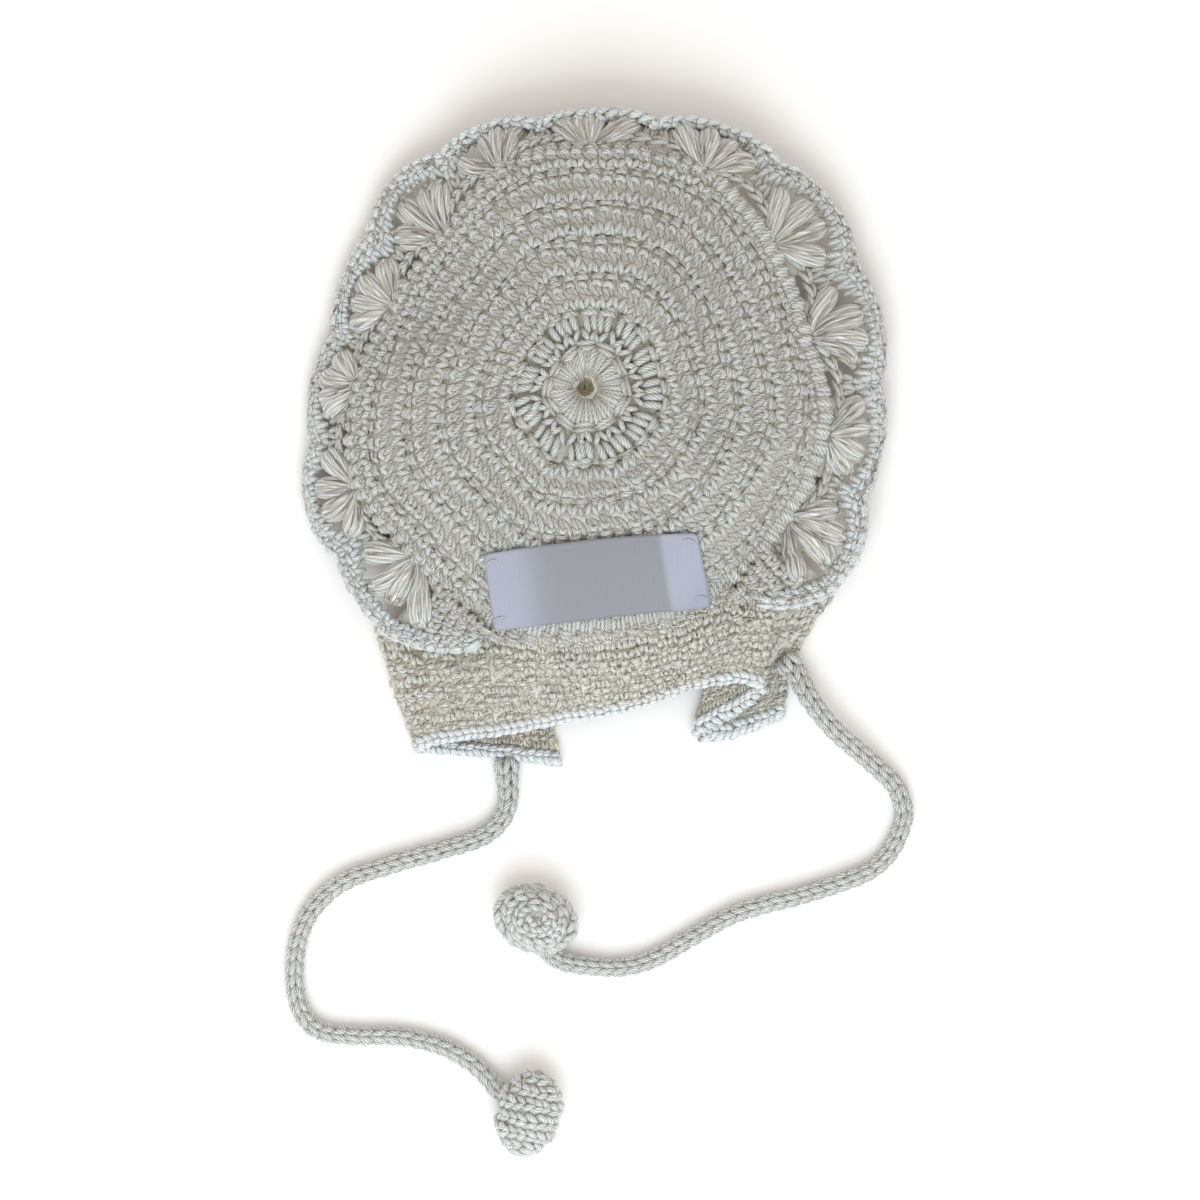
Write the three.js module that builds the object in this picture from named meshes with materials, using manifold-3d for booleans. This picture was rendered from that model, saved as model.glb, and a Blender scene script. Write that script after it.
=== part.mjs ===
// Baby bonnet crocheted in thick cotton yarn, lying on its face opening with the crown upwards.
// Millimetres, +Z up. Angles go clockwise from +Y in degrees, round the magic ring of the crown.
import * as THREE from 'three';
import Module from 'manifold-3d';
import { mergeVertices } from 'three/addons/utils/BufferGeometryUtils.js';

// ---- Driving dimensions -------------------------------------------------------------------------
const RIM_GAP = 1.05; // along the slope, from the rim of the crown to the frill and to the wall
const BAND_GAP = 1.4; // the same to the neck band, which bends off steeper
const EDGE_GAP = 0.45; // round the rolled edge of the neck band
const LABEL_GAP = 0.8; // from the crown to the facets of the label
const CROWN_THICKNESS = 2.6;
const CROWN_TOP = 31; // height of the magic ring
const CROWN_HOLE = 2.6; // radius of the hole in the magic ring
const DOME_POWER = 2.2; // how late the crown bends down towards its rim
const WALL_THICKNESS = 2.2;
const WALL_DEPTH = 38; // from the rim of the crown to the face edge
const WALL_INSET = 2; // the wall hangs this far inside the rim
const WALL_BEND = 0.68; // share of the wall's section that hangs and turns under
const WALL_FLAT_LEAST = 7; // its flat part is at least this wide
const WALL_SPREAD = 0.8; // how far it spreads outwards before it turns under
const WALL_SPREAD_MORE = 19.5; // the same, in addition, at both ends beside the neck band
const WALL_START = -172;
const WALL_END = 160;
const WALL_LEFT_LINE = -65.4; // its ends are cut along straight lines, where the band joins it
const WALL_RIGHT_LINE = -57;
const BAND_THICKNESS = 2.2;
const BRAID_RADIUS = 1.6; // rolled edge of the neck band
const BAND_ROLL = 2 * BRAID_RADIUS + 1; // the part of the band's height that the edge takes
const BAND_STEPS = 72;
const FRILL_THIN = 2.2; // border rows
const FRILL_PUFF = 1.3; // extra thickness of the puff stitches
const SCALLOP_DEPTH = 3.6; // how far a notch cuts in between two fans
const SCALLOP_WAVE = 1.1; // how far the frill lifts at a notch
const WINDOW_DEPTH = 2.3; // hole between the roots of two fans
const WINDOW_HALF = 2.6; // half its length, in degrees
const FRILL_START = -156;
const FRILL_END = 142;
const FRILL_START_TAPER = 18; // degrees over which the frill grows to its full reach
const FRILL_END_TAPER = 14;
const FRILL_END_LIFT = 3.4; // both ends of the frill lie over the neck band
const LABEL_THICKNESS = 0.7;
const CORD_RADIUS = 2.7;
const BALL_LENGTH = 24.5;
const BALL_WIDTH = 18.5;
const BALL_HEIGHT = 16.6;

// The rim of the crown: radius and height, going round clockwise.
const RIM = [
  { at: 0, radius: 66.8, height: 23 },
  { at: 30, radius: 68.5, height: 21.5 },
  { at: 52, radius: 64.8, height: 20.5 },
  { at: 77, radius: 63, height: 20 },
  { at: 98, radius: 67.3, height: 19 },
  { at: 125, radius: 66.3, height: 18.5 },
  { at: 141, radius: 67.5, height: 17.5 },
  { at: 160, radius: 68, height: 17.5 },
  { at: 180, radius: 68.3, height: 18 },
  { at: 203, radius: 71.5, height: 17 },
  { at: 228, radius: 67.6, height: 16 },
  { at: 247, radius: 70.6, height: 14 },
  { at: 270, radius: 65.4, height: 12 },
  { at: 292, radius: 60, height: 9.5 },
  { at: 317, radius: 59.6, height: 12 },
  { at: 340, radius: 66.2, height: 20 },
];

// Soft creases of the crown, as straight valleys (depth > 0) and ridges (depth < 0).
const CREASES = [
  { x1: 66, y1: -22, x2: 27, y2: -70, depth: 5, width: 8 },
  { x1: 30, y1: -22, x2: 62, y2: -10, depth: -1.8, width: 7 },
  { x1: 19, y1: 62, x2: 28, y2: 18, depth: 2, width: 7 },
  { x1: 1, y1: 62, x2: 5, y2: 28, depth: -1.4, width: 7 },
  { x1: -54, y1: 12, x2: -24, y2: 34, depth: 2.2, width: 9 },
];

// The fans of the frill: reach beyond the rim, height of the outer fold, how far the edge turns
// back over it, and height of the edge.
const FANS = [
  { at: -134, reach: 19, belly: 14, back: 0, edge: 12.8 },
  { at: -113, reach: 14, belly: 7, back: 0, edge: 3.6 },
  { at: -89, reach: 11.5, belly: 5, back: 0, edge: 3 },
  { at: -67, reach: 15, belly: 3.8, back: 0, edge: 4.2 },
  { at: -43, reach: 20, belly: 5, back: 0, edge: 6 },
  { at: -22, reach: 13.5, belly: 6, back: 1.5, edge: 14 },
  { at: 0, reach: 13, belly: 3, back: 4.5, edge: 20 },
  { at: 28, reach: 14, belly: 8, back: 1.5, edge: 15 },
  { at: 52, reach: 19.6, belly: 8, back: 0, edge: 8 },
  { at: 77, reach: 19.4, belly: 8, back: 0, edge: 7 },
  { at: 101, reach: 14.6, belly: 6, back: 0, edge: 6 },
  { at: 123, reach: 21, belly: 11, back: 0, edge: 11.5 },
];

// The neck band from its left front end to its right front end. A row is one section: its top edge,
// the middle of its height and its lower edge. rim gives an angle where the top edge is the rim's.
const BAND = [
  { top: [-14, -70.5, 1.6], middle: [-11.5, -88, 1.5], edge: [-8.5, -104.5, 1.9] },
  { top: [-30, -69, 1.4], middle: [-25, -87, 1.4], edge: [-24, -102.3, 1.8] },
  { top: [-46, -68, 1.6], middle: [-40, -86, 1.6], edge: [-37.5, -101.2, 1.8] },
  { top: [-55.5, -67.4, 2.2], middle: [-50, -85.5, 2.2], edge: [-44.5, -100.8, 2.2] },
  { top: [-58.5, -67.2, 4.8], middle: [-53, -85, 4.8], edge: [-47, -100.3, 4.6] },
  { top: [-55, -67, 7.6], middle: [-49.5, -84.5, 7.6], edge: [-44.5, -98.6, 7.2] },
  { top: [-46, -66.8, 10.6], middle: [-41, -83.5, 10], edge: [-36, -97, 8.8] },
  { top: [-28.5, -66.6, 13.6], middle: [-22, -81.5, 12.9], edge: [-19.5, -94.5, 10] },
  { rim: 190, middle: [-9, -80.5, 14.2], edge: [-5.6, -91.5, 10.4] },
  { rim: 175, middle: [9, -79.5, 14], edge: [10, -88.5, 10.4] },
  { rim: 160, middle: [25.5, -76, 13], edge: [25, -83, 10.2] },
  { rim: 149, middle: [37.5, -70, 12.6], edge: [37.5, -81, 10.2] },
  { top: [46, -58.8, 13], middle: [45.5, -69, 11.8], edge: [44.5, -81.5, 9.8] },
  { top: [50, -58.5, 12], middle: [48.5, -70, 9.6], edge: [47.3, -84.5, 7.8] },
  { top: [52.5, -58.4, 11], middle: [44.5, -72, 7.2], edge: [41.5, -89.5, 6] },
  { top: [54.5, -58.2, 10], middle: [36, -76, 4.6], edge: [30.4, -96, 4] },
  { top: [57.5, -58, 8.6], middle: [44, -76.5, 2.4], edge: [38, -97.2, 1.9] },
  { top: [67, -58, 4.2], middle: [57, -75, 1.6], edge: [54, -91, 1.8] },
];
// Corners of the label: top left, top right, bottom right, bottom left.
const LABEL_CORNERS = [[-28.6, -45.4], [29.1, -39.5], [32.2, -59.1], [-26, -66.1]];

// The ties, from the band to the ball. They lie on the surface apart from their first stretch.
const TIE_LEFT = [
  [-23.5, -103.2, 2.7], [-23, -110.5, 2.7], [-23.4, -117.5, 2.7], [-29, -124, 2.7],
  [-42, -128.5, 2.7], [-56, -132.5, 2.7], [-68.6, -137, 2.7], [-77, -144, 2.7],
  [-81.5, -153, 2.7], [-82.6, -165, 2.7], [-80.5, -174, 2.7], [-75.6, -179, 2.7],
  [-66, -180.3, 2.7], [-53.2, -180.5, 2.7], [-42, -183, 2.7], [-33.6, -187.3, 2.7],
  [-28.2, -192.2, 3.2], [-25.6, -195.8, 4.6],
];
const TIE_RIGHT = [
  [57.8, -79.1, 4.6], [60.6, -84.8, 6], [66.9, -93.5, 6.6], [76.7, -102.2, 4.6],
  [84.6, -109.4, 3], [87.2, -114.5, 2.7], [87.6, -120.1, 2.7], [84, -128.6, 2.7],
  [78.4, -134.1, 2.7], [68.6, -138, 2.7], [58.8, -141.1, 2.7], [49, -143.6, 2.7],
  [39.2, -146.7, 2.7], [28, -153, 2.7], [16.8, -159.2, 2.7], [8.4, -161.2, 2.7],
  [0, -160.9, 2.7], [-6.5, -159.9, 3], [-11, -158, 4.2],
];
const BALL_LEFT = { x: -17.1, y: -201.3, turn: 76 };
const BALL_RIGHT = { x: -15.1, y: -147.3, turn: -20 };

// ---- Helpers ------------------------------------------------------------------------------------
const radians = THREE.MathUtils.degToRad;
const mix = THREE.MathUtils.lerp;

// A point at an angle clockwise from +Y.
function polar(at, radius, height) {
  return new THREE.Vector3(radius * Math.sin(radians(at)), radius * Math.cos(radians(at)), height);
}

// Catmull-Rom value at a share t of the way from b to c, with a before and d after them.
function spline(a, b, c, d, t) {
  const slopeIn = (c - a) / 2;
  const slopeOut = (d - b) / 2;
  const t2 = t * t;
  const t3 = t2 * t;
  return b * (2 * t3 - 3 * t2 + 1) + slopeIn * (t3 - 2 * t2 + t)
    + c * (3 * t2 - 2 * t3) + slopeOut * (t3 - t2);
}

// A column of the rim's table at any angle; the table goes all the way round.
function rimValue(at, column) {
  const angle = ((at % 360) + 360) % 360;
  const count = RIM.length;
  let row = 0;
  while (row + 1 < count && RIM[row + 1].at <= angle) row += 1;
  const next = row + 1 < count ? RIM[row + 1].at : 360;
  const t = (angle - RIM[row].at) / (next - RIM[row].at);
  const value = (step) => RIM[(row + step + count) % count][column];
  return spline(value(-1), value(0), value(1), value(2), t);
}

// A column of the fans' table at any angle from FRILL_START to FRILL_END.
function fanValue(at, column) {
  const last = FANS.length - 1;
  if (at <= FANS[0].at) return FANS[0][column];
  if (at >= FANS[last].at) return FANS[last][column];
  const row = FANS.findIndex((fan) => fan.at > at) - 1;
  const t = (at - FANS[row].at) / (FANS[row + 1].at - FANS[row].at);
  const value = (step) => FANS[Math.min(last, Math.max(0, row + step))][column];
  return spline(value(-1), value(0), value(1), value(2), t);
}

// Depth of all creases at a place in plan.
function creaseDepth(x, y) {
  let depth = 0;
  for (const crease of CREASES) {
    const alongX = crease.x2 - crease.x1;
    const alongY = crease.y2 - crease.y1;
    const reach = alongX ** 2 + alongY ** 2;
    const share = ((x - crease.x1) * alongX + (y - crease.y1) * alongY) / reach;
    const near = Math.min(1, Math.max(0, share));
    const away = Math.hypot(x - crease.x1 - near * alongX, y - crease.y1 - near * alongY);
    depth += crease.depth * Math.exp(-((away / crease.width) ** 2));
  }
  return depth;
}

// Middle of the crown's fabric at an angle and a share of the way from its centre to its rim.
function crownPoint(at, share) {
  const radius = share * rimValue(at, 'radius');
  const rim = rimValue(at, 'height');
  const place = polar(at, radius, 0);
  place.z = rim + (CROWN_TOP - rim) * (1 - share ** DOME_POWER) - creaseDepth(place.x, place.y);
  return place;
}

// Downward slope of the crown at its rim, as [outward, up] of length 1.
function rimSlope(at) {
  const step = 0.02;
  const fall = crownPoint(at, 1).z - crownPoint(at, 1 - step).z;
  const run = step * rimValue(at, 'radius');
  const length = Math.hypot(run, fall);
  return [run / length, fall / length];
}

// A closed solid round a middle surface point(u, v), with u and v from 0 to 1. thickness is a number
// or a function of u and v. In a round surface u = 1 is u = 0 again.
function shell(point, uSteps, vSteps, thickness, round = false) {
  const columns = round ? uSteps : uSteps + 1;
  const rows = vSteps + 1;
  const positions = [];
  const thicknessAt = typeof thickness === 'function' ? thickness : () => thickness;
  const delta = 1e-3;
  for (const side of [0.5, -0.5]) {
    for (let i = 0; i < columns; i += 1) {
      for (let j = 0; j < rows; j += 1) {
        const u = i / uSteps;
        const v = j / vSteps;
        const uLow = round ? u - delta : Math.max(0, u - delta);
        const uHigh = round ? u + delta : Math.min(1, u + delta);
        const alongU = point(uHigh, v).sub(point(uLow, v));
        const alongV = point(u, Math.min(1, v + delta)).sub(point(u, Math.max(0, v - delta)));
        const normal = alongV.cross(alongU).normalize();
        const place = point(u, v).addScaledVector(normal, side * thicknessAt(u, v));
        positions.push(place.x, place.y, place.z);
      }
    }
  }
  const index = [];
  const vertex = (side, i, j) => side * columns * rows + (i % columns) * rows + j;
  const quad = (a, b, c, d) => index.push(a, b, c, a, c, d);
  for (let i = 0; i < uSteps; i += 1) {
    for (let j = 0; j < vSteps; j += 1) {
      quad(vertex(0, i, j), vertex(0, i, j + 1), vertex(0, i + 1, j + 1), vertex(0, i + 1, j));
      quad(vertex(1, i, j), vertex(1, i + 1, j), vertex(1, i + 1, j + 1), vertex(1, i, j + 1));
    }
    quad(vertex(0, i, 0), vertex(0, i + 1, 0), vertex(1, i + 1, 0), vertex(1, i, 0));
    quad(vertex(0, i, vSteps), vertex(1, i, vSteps), vertex(1, i + 1, vSteps), vertex(0, i + 1, vSteps));
  }
  if (!round) {
    for (let j = 0; j < vSteps; j += 1) {
      quad(vertex(0, 0, j), vertex(1, 0, j), vertex(1, 0, j + 1), vertex(0, 0, j + 1));
      quad(vertex(0, uSteps, j), vertex(0, uSteps, j + 1), vertex(1, uSteps, j + 1), vertex(1, uSteps, j));
    }
  }
  const geometry = new THREE.BufferGeometry();
  geometry.setAttribute('position', new THREE.Float32BufferAttribute(positions, 3));
  geometry.setIndex(index);
  geometry.computeVertexNormals();
  return geometry;
}

const wasm = await Module();
wasm.setup();

function toSolid(geometry) {
  const bare = geometry.clone();
  bare.deleteAttribute('normal');
  bare.deleteAttribute('uv');
  const merged = mergeVertices(bare, 1e-4);
  const vertProperties = new Float32Array(merged.attributes.position.array);
  const triVerts = new Uint32Array(merged.index.array);
  return new wasm.Manifold(new wasm.Mesh({ numProp: 3, vertProperties, triVerts }));
}

// A geometry less what lies in the cutter.
function cutAway(geometry, cutter) {
  const mesh = toSolid(geometry).subtract(toSolid(cutter)).getMesh();
  const cut = new THREE.BufferGeometry();
  cut.setAttribute('position', new THREE.BufferAttribute(mesh.vertProperties, 3));
  cut.setIndex(new THREE.BufferAttribute(mesh.triVerts, 1));
  cut.computeVertexNormals();
  return cut;
}

function material(colour, roughness) {
  return new THREE.MeshStandardMaterial({ color: colour, roughness, metalness: 0 });
}

function piece(name, geometry, finish) {
  const mesh = new THREE.Mesh(geometry, finish);
  mesh.name = name;
  return mesh;
}

// ---- Materials ----------------------------------------------------------------------------------
const YARN = material(0xe4e1d2, 0.55);
const BAND_YARN = material(0xe6e0c8, 0.55);
const SATIN = material(0xe9e9f2, 0.35);

// ---- Crown: flat disc of rounds, with the hole of its magic ring --------------------------------
function crown() {
  const surface = (u, v) => {
    const at = 360 * u;
    const hole = CROWN_HOLE / rimValue(at, 'radius');
    return crownPoint(at, mix(hole, 1, v));
  };
  return piece('crown', shell(surface, 60, 8, CROWN_THICKNESS, true), YARN);
}

// ---- Side wall: hangs from the rim, turns under and lies on the surface to the face edge --------
// How far the wall spreads outwards before it turns under; widest beside the neck band.
function wallSpread(at) {
  const width = 37; // degrees
  const left = Math.exp(-(((at - WALL_START) / width) ** 2));
  const right = Math.exp(-(((at - WALL_END) / width) ** 2));
  return WALL_SPREAD + WALL_SPREAD_MORE * (left + right);
}

// Radius and height at a share v of the way from the rim to the face edge.
function wallSection(at, v) {
  const start = rimValue(at, 'radius') - WALL_INSET;
  const under = Math.min(crownPoint(at, 1).z, crownPoint(at, 0.96).z);
  const top = under - CROWN_THICKNESS / 2 - RIM_GAP;
  const spread = wallSpread(at);
  const lie = WALL_THICKNESS / 2;
  const turned = start + spread - 4;
  if (v > WALL_BEND) {
    const used = rimValue(at, 'height') - CROWN_THICKNESS + 1.55 * spread;
    const flat = Math.max(WALL_FLAT_LEAST, WALL_DEPTH - used);
    return [turned - flat * (v - WALL_BEND) / (1 - WALL_BEND), lie];
  }
  const curve = new THREE.CubicBezierCurve(
    new THREE.Vector2(start, top),
    new THREE.Vector2(start + 0.9 * spread, mix(lie, top, 0.55)),
    new THREE.Vector2(start + spread + 3, lie),
    new THREE.Vector2(turned, lie),
  );
  const place = curve.getPoint(v / WALL_BEND);
  return [place.x, place.y];
}

function sideWall() {
  const surface = (u, v) => {
    const at = mix(WALL_START, WALL_END, u);
    const [radius, height] = wallSection(at, v);
    return polar(at, radius, height);
  };
  const far = 100; // beyond the whole bonnet
  const below = new THREE.Shape([
    new THREE.Vector2(-far, -far), new THREE.Vector2(far, -far),
    new THREE.Vector2(far, WALL_RIGHT_LINE), new THREE.Vector2(0, WALL_RIGHT_LINE),
    new THREE.Vector2(0, WALL_LEFT_LINE), new THREE.Vector2(-far, WALL_LEFT_LINE),
  ]);
  const cutter = new THREE.ExtrudeGeometry(below, { depth: far, bevelEnabled: false });
  cutter.translate(0, 0, -far / 2);
  const whole = shell(surface, 54, 8, WALL_THICKNESS);
  return piece('side_wall', cutAway(whole, cutter), YARN);
}

// ---- Frill: fans of puff stitches with a scalloped border, worked on the rim --------------------
// From 0 in the middle of a fan to 1 at the notches on both sides of it.
function fromFanMiddle(at) {
  for (let i = 0; i < FANS.length; i += 1) {
    const low = i === 0 ? FRILL_START : (FANS[i - 1].at + FANS[i].at) / 2;
    const high = i === FANS.length - 1 ? FRILL_END : (FANS[i].at + FANS[i + 1].at) / 2;
    if (at <= high) {
      const half = at < FANS[i].at ? FANS[i].at - low : high - FANS[i].at;
      return Math.min(1, Math.abs(at - FANS[i].at) / half);
    }
  }
  return 1;
}

// Hole beside the rim, between the roots of two fans.
function windowDepth(at) {
  let depth = 0;
  for (let i = 0; i + 1 < FANS.length; i += 1) {
    const away = (at - (FANS[i].at + FANS[i + 1].at) / 2) / WINDOW_HALF;
    depth += Math.max(0, 1 - away * away);
  }
  return WINDOW_DEPTH * depth;
}

function frillSection(at) {
  const rim = crownPoint(at, 1);
  const radius = rimValue(at, 'radius');
  const [outward, up] = rimSlope(at);
  const aside = fromFanMiddle(at);
  const scallop = SCALLOP_DEPTH * (1 - Math.sqrt(Math.max(0, 1 - aside * aside)));
  const grown = (at - FRILL_START + 2) / FRILL_START_TAPER;
  const left = (FRILL_END - at + 2) / FRILL_END_TAPER;
  const ends = Math.min(1, grown, left);
  const reach = (fanValue(at, 'reach') - scallop) * Math.sqrt(ends);
  const endLift = FRILL_END_LIFT * (1 - ends * ends);
  const lift = SCALLOP_WAVE * aside * aside + endLift;
  const root = RIM_GAP + windowDepth(at) + 0.15 * endLift;
  const fall = 0.35 * reach;
  const droop = (height) => mix(rim.z, height, Math.sqrt(ends)) + lift;
  return new THREE.CubicBezierCurve(
    new THREE.Vector2(radius + root * outward, rim.z + root * up + endLift),
    new THREE.Vector2(radius + (root + fall) * outward, rim.z + (root + fall) * up + endLift),
    new THREE.Vector2(radius + reach, droop(fanValue(at, 'belly'))),
    new THREE.Vector2(radius + reach - fanValue(at, 'back'), droop(fanValue(at, 'edge'))),
  );
}

function frill() {
  const surface = (u, v) => {
    const at = mix(FRILL_START, FRILL_END, u);
    const place = frillSection(at).getPoint(v);
    return polar(at, place.x, place.y);
  };
  const thickness = (u, v) => FRILL_THIN + FRILL_PUFF * Math.sin(Math.PI * Math.min(1, v / 0.6));
  return piece('frill', shell(surface, 120, 5, thickness), YARN);
}

// ---- Neck band: folded under at its left end and pleated at its right end ------------------------
function bandCurves() {
  const tops = BAND.map((row) => {
    if (row.rim === undefined) return new THREE.Vector3(...row.top);
    const [outward, up] = rimSlope(row.rim);
    const height = crownPoint(row.rim, 1).z + BAND_GAP * up;
    return polar(row.rim, rimValue(row.rim, 'radius') + BAND_GAP * outward, height);
  });
  const middles = BAND.map((row) => new THREE.Vector3(...row.middle));
  const edges = BAND.map((row) => new THREE.Vector3(...row.edge));
  return [tops, middles, edges].map((points) => new THREE.CatmullRomCurve3(points, false, 'catmullrom', 0.5));
}

// The band's surface, with v in millimetres from its lower edge.
function bandPoint(curves, u, fromEdge, share) {
  const [top, middle, edge] = curves.map((curve) => curve.getPoint(u));
  const speed = top.clone().addScaledVector(middle, -4).addScaledVector(edge, 3).length();
  const v = share * (1 - fromEdge / speed);
  return top.multiplyScalar((1 - v) * (1 - 2 * v))
    .addScaledVector(middle, 4 * v * (1 - v))
    .addScaledVector(edge, v * (2 * v - 1));
}

// A tube of round section along a curve, closed at both ends.
function tube(points, radius, steps, sides) {
  const section = new THREE.Shape();
  for (let i = 0; i < sides; i += 1) {
    const turn = 2 * Math.PI * i / sides;
    const x = radius * Math.cos(turn);
    const y = radius * Math.sin(turn);
    if (i === 0) section.moveTo(x, y);
    else section.lineTo(x, y);
  }
  section.closePath();
  const extrudePath = new THREE.CatmullRomCurve3(points, false, 'catmullrom', 0.5);
  return new THREE.ExtrudeGeometry(section, { steps, bevelEnabled: false, extrudePath });
}

function neckEdgeTube(curves, radius) {
  const points = [];
  for (let i = 0; i <= BAND_STEPS; i += 1) {
    points.push(bandPoint(curves, i / BAND_STEPS, BRAID_RADIUS, 1));
  }
  return tube(points, radius, BAND_STEPS, 6);
}

function neckEdge(curves) {
  return piece('neck_edge', neckEdgeTube(curves, BRAID_RADIUS), BAND_YARN);
}

// The band keeps clear of its braided edge where it folds.
function neckBand(curves) {
  const surface = (u, v) => bandPoint(curves, u, BAND_ROLL, v);
  const whole = shell(surface, BAND_STEPS, 3, BAND_THICKNESS);
  return piece('neck_band', cutAway(whole, neckEdgeTube(curves, BRAID_RADIUS + EDGE_GAP)), BAND_YARN);
}

// ---- Label: satin strip sewn on the crown above the neck band -----------------------------------
function crownHeight(x, y) {
  const at = THREE.MathUtils.radToDeg(Math.atan2(x, y));
  return crownPoint(at, Math.hypot(x, y) / rimValue(at, 'radius')).z;
}

function label() {
  const [topLeft, topRight, bottomRight, bottomLeft] = LABEL_CORNERS;
  const raise = CROWN_THICKNESS / 2 + LABEL_GAP + LABEL_THICKNESS;
  const surface = (u, v) => {
    const x = mix(mix(topLeft[0], topRight[0], u), mix(bottomLeft[0], bottomRight[0], u), v);
    const y = mix(mix(topLeft[1], topRight[1], u), mix(bottomLeft[1], bottomRight[1], u), v);
    return new THREE.Vector3(x, y, crownHeight(x, y) + raise);
  };
  return piece('label', shell(surface, 12, 4, LABEL_THICKNESS), SATIN);
}

// ---- Ties: crocheted cords, each with a crocheted ball at its end -------------------------------
function tie(name, route) {
  const points = route.map((place) => new THREE.Vector3(...place));
  return piece(name, tube(points, CORD_RADIUS, 40, 8), YARN);
}

function ball(name, place) {
  const geometry = new THREE.SphereGeometry(BALL_WIDTH / 2, 14, 9);
  geometry.rotateX(Math.PI / 2);
  geometry.scale(BALL_LENGTH / BALL_WIDTH, 1, BALL_HEIGHT / BALL_WIDTH);
  geometry.rotateZ(radians(place.turn));
  const mesh = piece(name, geometry, YARN);
  mesh.position.set(place.x, place.y, BALL_HEIGHT / 2);
  return mesh;
}

// ---- Assembly: the bonnet stands on the origin, centred by its own box without the ties ----------
const bandShape = bandCurves();
const bonnet = new THREE.Group();
bonnet.add(crown(), sideWall(), frill(), neckBand(bandShape), neckEdge(bandShape), label());

const box = new THREE.Box3().setFromObject(bonnet);
const middle = box.getCenter(new THREE.Vector3());
const model = new THREE.Group();
model.add(bonnet);
model.add(tie('tie_left', TIE_LEFT), tie('tie_right', TIE_RIGHT));
model.add(ball('tie_ball_left', BALL_LEFT), ball('tie_ball_right', BALL_RIGHT));
model.position.set(-middle.x, -middle.y, -box.min.z);

export default model;
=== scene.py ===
import math

import bpy
import numpy as np
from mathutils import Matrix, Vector


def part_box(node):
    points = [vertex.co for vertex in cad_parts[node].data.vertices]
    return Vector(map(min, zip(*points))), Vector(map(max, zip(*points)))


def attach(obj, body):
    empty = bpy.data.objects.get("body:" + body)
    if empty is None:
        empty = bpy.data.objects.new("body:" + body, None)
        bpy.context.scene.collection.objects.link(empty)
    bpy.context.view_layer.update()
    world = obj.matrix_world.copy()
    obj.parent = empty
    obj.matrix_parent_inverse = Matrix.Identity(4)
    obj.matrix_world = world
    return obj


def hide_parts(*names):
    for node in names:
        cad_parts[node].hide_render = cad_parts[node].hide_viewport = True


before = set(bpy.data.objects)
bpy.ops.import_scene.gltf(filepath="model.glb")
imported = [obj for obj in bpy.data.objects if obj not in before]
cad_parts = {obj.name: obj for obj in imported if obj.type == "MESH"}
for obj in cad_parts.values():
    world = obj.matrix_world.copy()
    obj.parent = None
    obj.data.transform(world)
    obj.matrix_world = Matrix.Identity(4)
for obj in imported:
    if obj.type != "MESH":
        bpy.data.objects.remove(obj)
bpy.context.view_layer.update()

RANDOM = np.random.default_rng(11)

# ---- Driving dimensions ----
YARN = 0.0008  # radius of one strand of yarn
FINE = 0.0009  # the same in small stitches
CROWN_THICKNESS = 0.0026
CROWN_TOP = 0.031
DOME_POWER = 2.2
WALL_DEPTH = 0.038
WALL_BEND = 0.68  # share of the wall's section that hangs and turns under
WALL_INSET = 0.002  # the wall hangs this far inside the rim
WALL_SPREAD = 0.0008  # how far it spreads outwards before it turns under
WALL_SPREAD_MORE = 0.0195  # the same, in addition, at both ends beside the neck band
WALL_END_REACH = 37  # degrees from an end over which that fades
WALL_FLAT_LEAST = 0.007
WALL_DROP = 0.0023  # from the crown's fabric down to the top of the wall's
WALL_LIES = 0.0012  # height of the wall's fabric where it lies on the floor
WALL_START = -172
WALL_END = 160
WALL_LEFT_LINE = -0.0654
WALL_RIGHT_LINE = -0.057
FRILL_START = -156
FRILL_END = 142
FRILL_START_TAPER = 18  # degrees over which the frill grows to its full reach
FRILL_END_TAPER = 14
FRILL_END_LIFT = 0.0034  # both ends of the frill lie over the neck band
SCALLOP_DEPTH = 0.0036  # how far a notch cuts in between two fans
SCALLOP_WAVE = 0.0011  # how far the frill lifts at a notch
FRILL_GAP = 0.0008  # from the crown's rim to the frill, along the slope
BAND_GAP = 0.0008  # the same to the neck band
CORD_DIAMETER = 0.0054
BALL_LENGTH = 0.0245
BALL_WIDTH = 0.0185
BALL_HEIGHT = 0.0166
BALL_LEFT = {"x": -0.0171, "y": -0.2013, "turn": 76, "pole": "along"}
BALL_RIGHT = {"x": -0.0151, "y": -0.1473, "turn": -20, "pole": "up"}

# The tables of places are in millimetres and divided by 1000, except those of the ties.
# The rim of the crown: angle, radius and height, going round clockwise.
RIM = np.array([
    (0, 66.8, 23), (30, 68.5, 21.5), (52, 64.8, 20.5), (77, 63, 20), (98, 67.3, 19),
    (125, 66.3, 18.5), (141, 67.5, 17.5), (160, 68, 17.5), (180, 68.3, 18), (203, 71.5, 17),
    (228, 67.6, 16), (247, 70.6, 14), (270, 65.4, 12), (292, 60, 9.5), (317, 59.6, 12),
    (340, 66.2, 20),
]) / (1, 1000, 1000)
RIM_RADIUS = 1
RIM_HEIGHT = 2
WHOLE_RIM = np.concatenate([RIM[-1:] - (360, 0, 0), RIM, RIM[:2] + (360, 0, 0)])

# Soft creases of the crown: x and y of both ends, depth (a ridge where it is negative) and width.
CREASES = np.array([
    (66, -22, 27, -70, 5, 8), (30, -22, 62, -10, -1.8, 7), (19, 62, 28, 18, 2, 7),
    (1, 62, 5, 28, -1.4, 7), (-54, 12, -24, 34, 2.2, 9),
]) / 1000

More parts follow.
